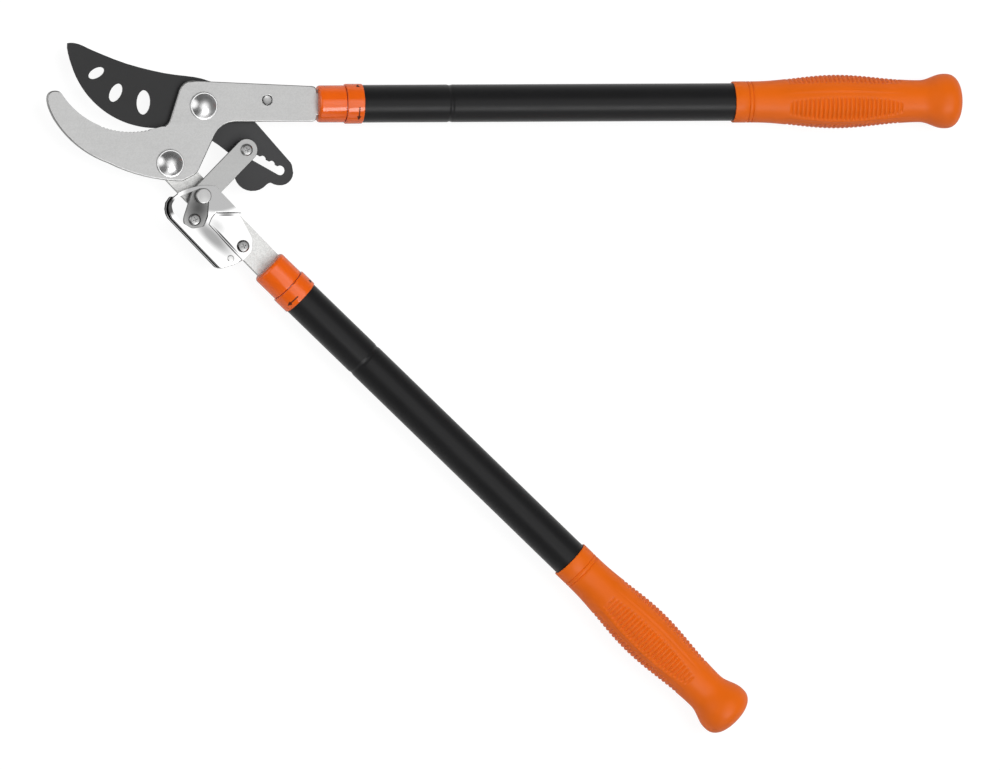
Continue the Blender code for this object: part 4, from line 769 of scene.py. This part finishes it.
class LOPPER_OT_bolts(bpy.types.Operator):
    """Turns the two domed pivot bolts, their washers and nuts, and the stop pin"""

    bl_idname = "lopper.bolts"
    bl_label = "Pivot Bolts"

    def execute(self, context):
        rise, reach = 3.45, 9.0
        dome_radius = (reach**2 + rise**2) / (2 * rise)
        sweep = math.degrees(math.asin(reach / dome_radius))
        dome = arc(10.35 - dome_radius, 0, dome_radius, sweep, 0, 12)
        neck = rounded([(5.45, 5.0), (5.45, 10.4, 0.3), (6.7, 10.4, 0.45), (6.7, 9.35, 0.12), (dome[0][0], reach)])
        bolt = spun("pivot_bolt_model", [(-12.75, 0), (-12.75, 4.4), (-12.15, 5.0)] + neck + dome[1:])
        smooth(bolt, LATHED)
        washer = spun(
            "pivot_washer_model",
            rounded([(0, 5.15), (0, 9.5, 0.3), (1.5, 9.5, 0.3), (1.5, 5.15, 0.1), (0.0, 5.15)]),
            closed=True,
        )
        place(washer, STAND)
        smooth(washer, LATHED)
        nut = hex_nut("pivot_nut_model", 17.0, 5.5, 5.05)
        for side, pivot, drop in (("blade", BLADE_PIVOT, 0.0), ("handle", HANDLE_PIVOT, 1.0)):
            spot = Matrix.Translation(pivot * MM)
            twin = copy_of(bolt, f"{side}_pivot_bolt_dressed")
            edit(twin)
            choose(twin, "VERT", lambda vertex: vertex.co.x < -11 * MM)
            bpy.ops.transform.translate(value=(-drop * MM, 0, 0))
            deselect()
            place(twin, spot @ STAND)
            finish_piece(twin, "head", "fastener", "dome", f"{side}_pivot_bolt")
            ring = copy_of(washer, f"{side}_pivot_washer_dressed")
            place(ring, spot @ shift(z=WASHER_SEAT - drop))
            finish_piece(ring, "head", "fastener", "fastener", f"{side}_pivot_washer")
            twin_nut = copy_of(nut, f"{side}_pivot_nut_dressed")
            place(twin_nut, spot @ shift(z=NUT_SEAT - drop))
            finish_piece(twin_nut, "head", "fastener", "fastener", f"{side}_pivot_nut")
        for model in (bolt, washer, nut):
            bpy.data.objects.remove(model)
        pin = spun(
            "blade_stop_pin_dressed",
            [(-4.05, 0), (-4.05, 3.0), (-3.85, 3.2), (5.0, 3.2), (5.12, 3.08), (5.05, 2.7), (4.85, 1.4), (4.8, 0)],
            48,
        )
        place(pin, HEAD @ shift(48.7, 4.3) @ STAND)
        smooth(pin, LATHED)
        finish_piece(pin, "head", "fastener", "pin_end", "blade_stop_pin")
        return {"FINISHED"}


SPRING_SCREW, SPRING_POST = (42.094, -18.169), (81.7, -20.4)  # in the lower handle's frame, mm
SPRING_HEIGHT = 3.55


def cross_head_screw(name, shank, end, head_radius=4.5, height=2.3):
    """A pan head screw with a tapered cross recess. Its head sits on z 0."""
    top = rounded(
        [
            (0, shank), (0, head_radius, 0.15), (height * 0.42, head_radius, 0.35),
            (height * 0.86, head_radius * 0.8, 1.2), (height, head_radius * 0.3), (height, 0),
        ]
    )
    screw = spun(name, [(end, 0), (end, shank - 0.4), (end + 0.4, shank)] + top, 64)
    place(screw, STAND)
    width, length, depth = head_radius * 0.2, head_radius * 1.1, height * 0.6
    for turn in (0.0, math.pi / 2):
        deselect()
        bpy.ops.mesh.primitive_cube_add(size=MM, location=(0, 0, height * MM))
        cutter = bpy.context.object
        cutter.scale = (length, width, 2 * depth)
        cutter.rotation_euler = (0, 0, turn + math.radians(20))
        settle()
        edit(cutter)
        choose(cutter, "VERT", lambda vertex: vertex.co.z < height * MM)
        bpy.ops.transform.resize(value=(0.45, 0.45, 1), center_override=(0, 0, 0))
        deselect()
        apply_modifier(screw, "recess", "BOOLEAN", operation="DIFFERENCE", object=cutter, solver="EXACT")
        bpy.data.objects.remove(cutter)
    smooth(screw, 26)
    return screw


class LOPPER_OT_screws(bpy.types.Operator):
    """Makes the screw heads, the link rivet and the spring post"""

    bl_idname = "lopper.screws"
    bl_label = "Screws and Rivet"

    def execute(self, context):
        pin_place = HEAD @ in_plane(31.9, -33.06)
        spring_place = LOWER @ in_plane(*SPRING_SCREW)
        guard_place = LOWER @ in_plane(83.5, -6.0)
        for name, shank, end, seat, radius, spot, body in (
            ("link_pin_screw", 2.6, -16.8, 8.75, 4.5, pin_place, "link"),
            ("spring_screw", 2.4, -9.7, 8.75, 4.5, spring_place, "link"),
            ("guard_screw", 2.4, -7.8, 1.65, 4.7, guard_place, "lower_handle"),
        ):
            screw = cross_head_screw(f"{name}_dressed", shank, end, radius)
            place(screw, Matrix.Translation(spot + Vector((0, 0, seat * MM))))
            finish_piece(screw, body, "fastener", "pin_end", name)
        rivet = spun(
            "link_rivet_dressed",
            rounded(
                [
                    (-7.45, 0), (-7.45, 3.6, 1.0), (-6.3, 5.4, 0.8), (-5.15, 5.4, 0.1), (-5.15, 3.5, 0.05),
                    (10.25, 3.5, 0.05), (10.25, 5.8, 0.1), (15.05, 5.8, 0.75), (15.05, 0),
                ],
                6,
            ),
            72,
        )
        place(rivet, Matrix.Translation(LINK_PIVOT * MM) @ STAND)
        smooth(rivet, 30)
        finish_piece(rivet, "lower_handle", "fastener", "rivet", "link_rivet")
        post = spun(
            "spring_post_dressed",
            rounded(
                [
                    (1.45, 0), (1.45, 2.7, 0.1), (2.65, 2.7, 0.1), (2.65, 1.6, 0.1),
                    (5.15, 1.6, 0.1), (5.15, 2.7, 0.1), (8.45, 2.7, 0.1), (8.45, 1.6, 0.05),
                    (10.25, 1.6, 0.05), (10.25, 2.7, 0.2), (10.85, 2.2, 0.3), (11.15, 0),
                ],
                4,
            ),
            40,
        )
        place(post, LOWER @ shift(*SPRING_POST) @ STAND)
        smooth(post, 30)
        finish_piece(post, "lower_handle", "fastener", "fastener", "spring_post")
        return {"FINISHED"}


def spring_path(start, end, height, radius=3.0, curls=14, per_curl=18, lead=10.0, tail=5.4):
    """Centre line of the tension spring, mm: a hook round each post, a straight lead and the curls between."""
    along = (end - start).normalized()
    across = Vector((-along.y, along.x))
    length = (end - start).length

    def spot(u, v, w):
        flat = start + along * u + across * v
        return (flat.x, flat.y, height + w)

    def hook(centre, reach, angles):
        """An open loop of wire round a point on the line."""
        turns = [math.radians(a) for a in angles]
        return [spot(centre + reach * math.cos(a), reach * math.sin(a), 0.0) for a in turns]

    near, far = 3.3, 2.5
    points = hook(0.0, near, range(-60, -331, -15))
    points += [spot(near + 1.9, 1.2, 0.0), spot(lead - 3.0, 0.6, 0.3), spot(lead - 1.3, -0.6, 1.6)]
    for i in range(curls * per_curl + 1):
        turn = 2 * math.pi * i / per_curl
        u = lead + (length - tail - lead) * i / (curls * per_curl)
        points.append(spot(u, radius * math.sin(turn), radius * math.cos(turn)))
    points.append(spot(length - tail + 1.1, 1.2, 1.0))
    return points + hook(length, far, range(150, -121, -15))


class LOPPER_OT_spring(bpy.types.Operator):
    """Winds the tension spring with its two end hooks"""

    bl_idname = "lopper.spring"
    bl_label = "Tension Spring"

    def execute(self, context):
        points = spring_path(Vector(SPRING_SCREW), Vector(SPRING_POST), SPRING_HEIGHT)
        deselect()
        bpy.ops.curve.primitive_nurbs_path_add(location=(0, 0, 0))
        wire = bpy.context.object
        wire.name = "tension_spring_dressed"
        wire.data.splines.clear()
        spline = wire.data.splines.new("POLY")
        spline.points.add(len(points) - 1)
        for knot, point in zip(spline.points, points):
            knot.co = (*(c * MM for c in point), 1.0)
        wire.data.bevel_depth = context.scene.lopper_sizes.wire_radius
        wire.data.bevel_resolution = 3
        wire.data.use_fill_caps = True
        bpy.ops.object.convert(target="MESH")
        place(wire, LOWER)
        weld(wire, 1e-7)
        smooth(wire, 60)
        finish_piece(wire, "lower_handle", "spring", "spring", "tension_spring")
        return {"FINISHED"}


# ---------------------------------------------------------------- handles

HANDLES = (
    ("upper", UPPER_AXIS, "head", "upper_slider"),
    ("lower", LOWER_AXIS, "lower_handle", "lower_slider"),
)


def both_handles(model, label, slider, finish):
    """Copies a model made along x onto both handles and removes it."""
    for side, axis, fixed, sliding in HANDLES:
        twin = copy_of(model, f"{side}_{label}_dressed")
        place(twin, axis)
        finish_piece(twin, sliding if slider else fixed, finish, finish, f"{side}_{label}")
    bpy.data.objects.remove(model)


class LOPPER_OT_caps(bpy.types.Operator):
    """Turns the caps and the twist rings"""

    bl_idname = "lopper.caps"
    bl_label = "Caps and Twist Rings"

    def execute(self, context):
        cap = spun(
            "cap_model",
            rounded([(0, 0), (0, 13.95, 2.5), (21.0, 13.95, 0.8), (21.0, 12.05), (3.3, 12.05), (3.3, 0)], 8),
        )
        smooth(cap, LATHED)
        both_handles(cap, "cap", False, "orange_gloss")
        ring = spun(
            "ring_model",
            rounded(
                [
                    (21.3, 14.2, 0.1), (21.3, 15.0, 0.7), (34.3, 15.0, 0.5), (34.3, 14.2, 0.1),
                    (27.7, 14.2, 0.1), (27.7, 12.1, 0.1), (21.3, 12.1, 0.1),
                ]
            )
            + [(21.3, 14.2)],
        )
        weld(ring, 1e-5)
        smooth(ring, LATHED)
        both_handles(ring, "twist_ring", True, "orange_gloss")
        return {"FINISHED"}


MARK_MIDDLE, MARK_HALF, MARK_RADIUS = 30.2, 2.3, 15.015


def ring_mark(name, start, sweep, widths):
    """An arrow of ink round a ring: a strip spun over a few degrees, then narrowed column by column."""
    steps = len(widths) - 1
    edges = [(MARK_MIDDLE - MARK_HALF, MARK_RADIUS), (MARK_MIDDLE + MARK_HALF, MARK_RADIUS)]
    strip = spun(name, edges, steps, sweep=sweep)
    for i, width in enumerate(widths):
        edit(strip)
        spot = math.radians(sweep * i / steps)

        def in_column(vertex):
            return abs(math.atan2(vertex.co.y, vertex.co.z) - spot) < math.radians(sweep / steps / 3)

        choose(strip, "VERT", in_column)
        bpy.ops.transform.resize(value=(max(width, 0.001), 1, 1), center_override=(MARK_MIDDLE * MM, 0, 0))
    edit(strip, "SELECT")
    bpy.ops.mesh.remove_doubles(threshold=1e-5)
    deselect()
    apply_modifier(strip, "film", "SOLIDIFY", thickness=0.03 * MM, offset=0.0)
    place(strip, Matrix.Rotation(math.radians(start), 4, "X"))
    return strip


class LOPPER_OT_marks(bpy.types.Operator):
    """Prints a plain arrow and a small pointer on each twist ring"""

    bl_idname = "lopper.marks"
    bl_label = "Ring Arrows"

    def execute(self, context):
        arrow = ring_mark("arrow_model", 56, 46, [0.7 * i / 8 for i in range(9)] + [0.2] * 15)
        pointer = ring_mark("pointer_model", -56, 20, [0.64 - 0.08 * i for i in range(9)])
        for side, axis, _fixed, sliding in HANDLES:
            for model, label in ((arrow, "arrow"), (pointer, "pointer")):
                twin = copy_of(model, f"{side}_ring_{label}")
                place(twin, axis)
                finish_piece(twin, sliding, "orange_gloss", "ink")
        bpy.data.objects.remove(arrow)
        bpy.data.objects.remove(pointer)
        return {"FINISHED"}


OUTER_TUBE_ENDS = (27.8, 482.3)
OUTER_TUBE_RADIUS, OUTER_TUBE_BORE = 14.15, 12.75
CRIMP_PLACE, CRIMP_HALF, CRIMP_DEPTH = 101.5, 2.5, 0.45


class LOPPER_OT_tubes(bpy.types.Operator):
    """Turns the coated outer tubes with their crimp, and the bare inner tubes"""

    bl_idname = "lopper.tubes"
    bl_label = "Tubes"

    def execute(self, context):
        start, end = OUTER_TUBE_ENDS
        crimp = [
            (CRIMP_PLACE + x, OUTER_TUBE_RADIUS - CRIMP_DEPTH * (0.5 + 0.5 * math.cos(math.pi * x / CRIMP_HALF)))
            for x in [-CRIMP_HALF + 2 * CRIMP_HALF * i / 12 for i in range(13)]
        ]
        outer = spun(
            "outer_tube_model",
            [(start, OUTER_TUBE_BORE), (start, OUTER_TUBE_RADIUS)]
            + crimp
            + [(end, OUTER_TUBE_RADIUS), (end, OUTER_TUBE_BORE)],
            closed=True,
        )
        smooth(outer, LATHED)
        both_handles(outer, "outer_tube", True, "black_tube")
        inner = spun(
            "inner_tube_model", [(3.4, 10.7), (3.4, 12.0), (439.7, 12.0), (440.0, 11.7), (440.0, 10.7)], closed=True
        )
        smooth(inner, LATHED)
        both_handles(inner, "inner_tube", False, "bare_tube")
        return {"FINISHED"}


GRIP_START = 319.0
GRIP_LENGTH = 177.0
NECK_RADIUS, BELLY_RADIUS, WAIST_RADIUS, POMMEL_RADIUS = 15.5, 20.2, 15.8, 20.55
NECK_END, BELLY_PLACE, WAIST_PLACE, POMMEL_PLACE = 16.0, 79.5, 143.8, 162.5
END_START, END_REACH = 163.5, 12.7
OUTER_SKIN = 14.9  # mm. Nearer the axis lie the bore and the middle of the rounded end, which stay plain
FIRST_RIB_GROOVE = 42.25
# Middles and half widths of the rib panels, and crests of the keels, in degrees from the top towards +y.
PANELS = ((-18.0, 27.5), (77.0, 33.0), (-94.0, 34.0), (172.0, 27.5))
KEELS = (23.0, -49.0, 128.0, -141.0)
# Degrees that a panel loses towards the pommel and the neck, and over which its grooves run out.
PANEL_TAPERS, PANEL_EDGE = (12.0, 8.0), 5.0
KEEL_START, KEEL_RUN = 37.0, 94.5
KEEL_SLOPE, KEEL_EDGE = 17.0, 3.0  # degrees from the crest to its foot, on its long and its short side


def eased(share):
    """A smooth step from 0 to 1."""
    share = min(1.0, max(0.0, share))
    return 0.5 - 0.5 * math.cos(math.pi * share)


def grip_radius(place):
    """Radius of the grip at a distance from its neck, mm."""
    if place < BELLY_PLACE:
        start, end, near, far = NECK_END, BELLY_PLACE, NECK_RADIUS, BELLY_RADIUS
    elif place < WAIST_PLACE:
        start, end, near, far = BELLY_PLACE, WAIST_PLACE, BELLY_RADIUS, WAIST_RADIUS
    else:
        start, end, near, far = WAIST_PLACE, POMMEL_PLACE, WAIST_RADIUS, POMMEL_RADIUS
    return near + (far - near) * eased((place - start) / (end - start))


def turn_between(first, second):
    """The smaller turn from the second angle to the first, degrees."""
    return (first - second + 180.0) % 360.0 - 180.0


def carving(place, angle, sizes):
    """How far the grip's surface sinks at a place and an angle from the top, mm. Below 0 it rises."""
    pitch = sizes.rib_pitch / MM
    grooves = (place - FIRST_RIB_GROOVE) / pitch
    middle = FIRST_RIB_GROOVE + (sizes.rib_count - 1) / 2 * pitch
    along = (place - middle) / (sizes.rib_count / 2 * pitch)
    sink = 0.0
    if -0.5 < grooves < sizes.rib_count - 0.5:
        narrowing = PANEL_TAPERS[0 if along > 0 else 1] * abs(along) ** 3
        across = max((half - narrowing - abs(turn_between(angle, turn))) / PANEL_EDGE for turn, half in PANELS)
        phase = 0.5 + 0.5 * math.cos(2 * math.pi * grooves)
        sink += sizes.rib_depth / MM * phase**1.5 * eased(across) * (1.0 - 0.45 * abs(along) ** 6)
    if KEEL_START < place < KEEL_START + KEEL_RUN:
        lens = math.sin(math.pi * (place - KEEL_START) / KEEL_RUN) ** 0.6
        for turn in KEELS:
            offset = turn_between(angle, turn)
            foot = offset / KEEL_SLOPE if offset > 0 else -offset / KEEL_EDGE
            sink -= sizes.keel_height / MM * max(0.0, 1.0 - foot) * lens
    return sink


def carve(obj, sizes, step=0.05):
    """Scales the surface towards the x axis, one depth at a time, to cut the ribs and raise the keels."""
    edit(obj)
    levels = {}
    mesh = bmesh.from_edit_mesh(obj.data)
    for vertex in mesh.verts:
        x, y, z = vertex.co / MM
        radius = math.hypot(y, z)
        if radius < OUTER_SKIN or not 0 < x - GRIP_START < GRIP_LENGTH:
            continue
        share = carving(x - GRIP_START, math.degrees(math.atan2(y, z)), sizes) / radius
        level = round(share * BELLY_RADIUS / step)
        if level:
            levels.setdefault(level, set()).add(vertex.index)
    for level, members in sorted(levels.items()):
        mesh = bmesh.from_edit_mesh(obj.data)
        for vertex in mesh.verts:
            vertex.select_set(vertex.index in members)
        bmesh.update_edit_mesh(obj.data)
        scale = 1.0 - level * step / BELLY_RADIUS
        bpy.ops.transform.resize(value=(1, scale, scale), center_override=(0, 0, 0))
    deselect()


class LOPPER_OT_grips(bpy.types.Operator):
    """Turns the grip, cuts its ribs and raises its keels, and copies it to both handles"""

    bl_idname = "lopper.grips"
    bl_label = "Grips"

    def execute(self, context):
        sizes = context.scene.lopper_sizes
        pitch = sizes.rib_pitch / MM
        profile = [(166.0, 0.0), (166.0, 14.35), (0.0, 14.35), (0.0, 15.2), (0.12, 15.42), (0.4, 15.5)]
        neck_groove = ((-0.65, 0), (-0.4, 0.15), (0, 0.55), (0.4, 0.15), (0.65, 0))
        for groove in (10.5, 13.6):
            profile += [(groove + x, NECK_RADIUS - depth) for x, depth in neck_groove]
        first = FIRST_RIB_GROOVE - pitch / 2
        last = first + sizes.rib_count * pitch
        places = [NECK_END + (first - NECK_END) * i / 12 for i in range(12)]
        places += [first + pitch * i / 6 for i in range(6 * sizes.rib_count + 1)]
        places += [last + (END_START - last) * i / 20 for i in range(1, 20)]
        profile += [(place, grip_radius(place)) for place in places]
        fullness = 2 / 2.4  # exponent of the rounded end's superellipse
        for angle in (0, 5, 10, 16, 22, 28, 35, 42, 50, 58, 66, 74, 81, 86):
            along, across = math.sin(math.radians(angle)), math.cos(math.radians(angle))
            profile.append((END_START + END_REACH * along**fullness, POMMEL_RADIUS * across**fullness))
        profile += [(END_START + END_REACH, 0.0)]
        grip = spun("grip_model", [(GRIP_START + x, r) for x, r in profile], steps=144)
        carve(grip, sizes)
        smooth(grip, 40)
        both_handles(grip, "grip", True, "orange_grip")
        return {"FINISHED"}


class LOPPER_OT_hidden(bpy.types.Operator):
    """Gives the CAD nodes that stay their finishes"""

    bl_idname = "lopper.hidden"
    bl_label = "Inner Parts"

    def execute(self, context):
        slots = {row["slot"] for row in frame["record"]["materials"]}
        for cad in NODES.values():
            if cad.hide_render:
                continue
            wanted = cad.data.materials[0].name.split(".")[0]
            cad.data.materials[0] = MATERIALS[wanted if wanted in slots else "fastener"]
        return {"FINISHED"}


# ---------------------------------------------------------------- studio


FLOOR_SEEN, FLOOR_MIRRORED, FLOOR_SHARE = 1.08, 0.5, 0.85  # the floor's own light, and how much of it is that
SKY = ((0.0, 0.32), (0.12, 0.2), (0.4, 0.1), (1.0, 0.1))  # how bright the world is over a direction's z
# Soft panels in the world: direction, even and outer half angle in degrees, strength.
SKY_PANELS = (
    ((0.16, -0.08, 0.98), 15, 34, 1.28),
    ((-0.86, 0.2, 0.42), 10, 34, 1.5),
    ((-0.1, -0.95, 0.22), 8, 28, 0.8),
)
KEY_ENERGY, FILL_ENERGY = 125.0, 1.85
PICTURE = (1000, 770)  # pixels
PIVOT_PIXEL = (204, 106)  # the blade's pivot in the photograph
METRES_PER_PIXEL = 0.0007487
CAMERA_TILT, CAMERA_ROLL = math.radians(12.0), math.radians(0.37)
CAMERA_DISTANCE = 25.0  # m. At 60 m the views from behind came out blank


class LOPPER_OT_stage(bpy.types.Operator):
    """Sets up the floor, the lights, the world and the camera"""

    bl_idname = "lopper.stage"
    bl_label = "Studio"

    def execute(self, context):
        scene = context.scene
        deselect()
        bpy.ops.mesh.primitive_grid_add(x_subdivisions=2, y_subdivisions=2, size=12, location=(0, 0, -0.0002))
        floor = context.object
        floor.name = "studio_floor"
        settle()
        material = bpy.data.materials.new("studio_floor")
        material.use_nodes = True
        tree = material.node_tree
        tree.nodes.clear()
        path = tree.nodes.new("ShaderNodeLightPath")
        rays = [path.outputs[f"Is {kind} Ray"] for kind in ("Camera", "Glossy", "Transmission")]
        seen = math_node(tree, "MAXIMUM", rays[0], math_node(tree, "MAXIMUM", rays[1], rays[2]))
        diffuse = node(tree, "ShaderNodeBsdfDiffuse", {"Color": (0.9, 0.9, 0.9, 1)})
        level = node(tree, "ShaderNodeMix", {0: rays[0], 2: FLOOR_MIRRORED, 3: FLOOR_SEEN}, data_type="FLOAT")
        glow = node(tree, "ShaderNodeEmission", {"Color": (1, 1, 1, 1), "Strength": level.outputs[0]})
        share = math_node(tree, "MULTIPLY", seen, FLOOR_SHARE)
        mix = node(tree, "ShaderNodeMixShader", {0: share, 1: diffuse.outputs[0], 2: glow.outputs[0]})
        out = tree.nodes.new("ShaderNodeOutputMaterial")
        tree.links.new(mix.outputs[0], out.inputs["Surface"])
        floor.data.materials.append(material)

        world = bpy.data.worlds.new("studio_world")
        scene.world = world
        world.use_nodes = True
        sky = world.node_tree
        sky.nodes.clear()
        direction = sky.nodes.new("ShaderNodeTexCoord").outputs["Generated"]
        parts = node(sky, "ShaderNodeSeparateXYZ", {0: direction})
        level = grey_ramp(sky, parts.outputs[2], SKY)
        for aim, inner, outer, strength in SKY_PANELS:
            aims = {0: direction, 1: Vector(aim).normalized()}
            facing = node(sky, "ShaderNodeVectorMath", aims, operation="DOT_PRODUCT").outputs["Value"]
            outer, inner = math.cos(math.radians(outer)), math.cos(math.radians(inner))
            panel = soft_step(sky, facing, outer, inner, 0.0, strength)
            level = math_node(sky, "ADD", level, panel)
        sky_path = sky.nodes.new("ShaderNodeLightPath")
        seen = sky_path.outputs["Is Camera Ray"]
        glow = node(sky, "ShaderNodeMix", {0: seen, 2: level, 3: 1.0}, data_type="FLOAT")
        background = node(sky, "ShaderNodeBackground", {"Color": (1, 1, 1, 1), "Strength": glow.outputs[0]})
        sky_out = sky.nodes.new("ShaderNodeOutputWorld")
        sky.links.new(background.outputs[0], sky_out.inputs["Surface"])

        key_place = Vector((1.0, -2.75, 4.3))
        bpy.ops.object.light_add(type="AREA", location=key_place)
        key = context.object
        key.name = "key_softbox"
        key.data.shape = "RECTANGLE"
        key.data.size, key.data.size_y = 3.4, 1.9
        key.data.energy = KEY_ENERGY
        key.visible_diffuse = False
        key.rotation_euler = key_place.to_track_quat("Z", "Y").to_euler()
        bpy.ops.object.light_add(type="SUN", location=(0, 0, 3))
        fill = context.object
        fill.name = "overall_fill"
        fill.data.angle = math.radians(40)
        fill.data.energy = FILL_ENERGY
        fill.rotation_euler = Vector((0.42, 0.16, 0.87)).to_track_quat("Z", "Y").to_euler()
        fill.visible_glossy = False

        back = Vector((-math.sin(CAMERA_TILT), 0, math.cos(CAMERA_TILT)))
        north = Vector((0, 1, 0))
        level = north.cross(back).normalized()
        up = north * math.cos(CAMERA_ROLL) + level * math.sin(CAMERA_ROLL)
        right = level * math.cos(CAMERA_ROLL) - north * math.sin(CAMERA_ROLL)
        anchor = BLADE_PIVOT * MM + Vector((0, 0, 0.006))
        across, down = PIVOT_PIXEL[0] - PICTURE[0] / 2, PIVOT_PIXEL[1] - PICTURE[1] / 2
        centre = anchor - right * across * METRES_PER_PIXEL + up * down * METRES_PER_PIXEL
        bpy.ops.object.camera_add()
        camera = context.object
        camera.name = "photo_camera"
        facing = Matrix((right, up, back)).transposed().to_4x4()
        facing.translation = centre + back * CAMERA_DISTANCE
        camera.matrix_world = facing
        camera.data.sensor_width = 36
        camera.data.lens = camera.data.sensor_width * CAMERA_DISTANCE / (PICTURE[0] * METRES_PER_PIXEL)
        scene.camera = camera
        scene.view_settings.view_transform = "Standard"
        return {"FINISHED"}


OPERATORS = (
    LOPPER_OT_plates,
    LOPPER_OT_guard,
    LOPPER_OT_bolts,
    LOPPER_OT_screws,
    LOPPER_OT_spring,
    LOPPER_OT_caps,
    LOPPER_OT_marks,
    LOPPER_OT_tubes,
    LOPPER_OT_grips,
    LOPPER_OT_hidden,
    LOPPER_OT_stage,
)


class LOPPER_PT_panel(bpy.types.Panel):
    """Sizes, colours and steps of the lopper"""

    bl_label = "Telescopic Lopper"
    bl_idname = "LOPPER_PT_panel"
    bl_space_type = "VIEW_3D"
    bl_region_type = "UI"
    bl_category = "Lopper"

    def draw(self, context):
        for group in (context.scene.lopper_sizes, context.scene.lopper_colours):
            box = self.layout.box()
            for key in group.__annotations__:
                box.prop(group, key)
        for operator in OPERATORS:
            self.layout.operator(operator.bl_idname)


CLASSES = (LopperSizes, LopperColours, *OPERATORS, LOPPER_PT_panel)


def register():
    for cls in CLASSES:
        bpy.utils.register_class(cls)
    bpy.types.Scene.lopper_sizes = PointerProperty(type=LopperSizes)
    bpy.types.Scene.lopper_colours = PointerProperty(type=LopperColours)


def unregister():
    del bpy.types.Scene.lopper_colours
    del bpy.types.Scene.lopper_sizes
    for cls in reversed(CLASSES):
        bpy.utils.unregister_class(cls)


def main():
    register()
    deselect()
    make_materials(bpy.context.scene.lopper_colours)
    for operator in OPERATORS:
        group, action = operator.bl_idname.split(".")
        getattr(getattr(bpy.ops, group), action)()


if __name__ == "__main__":
    main()
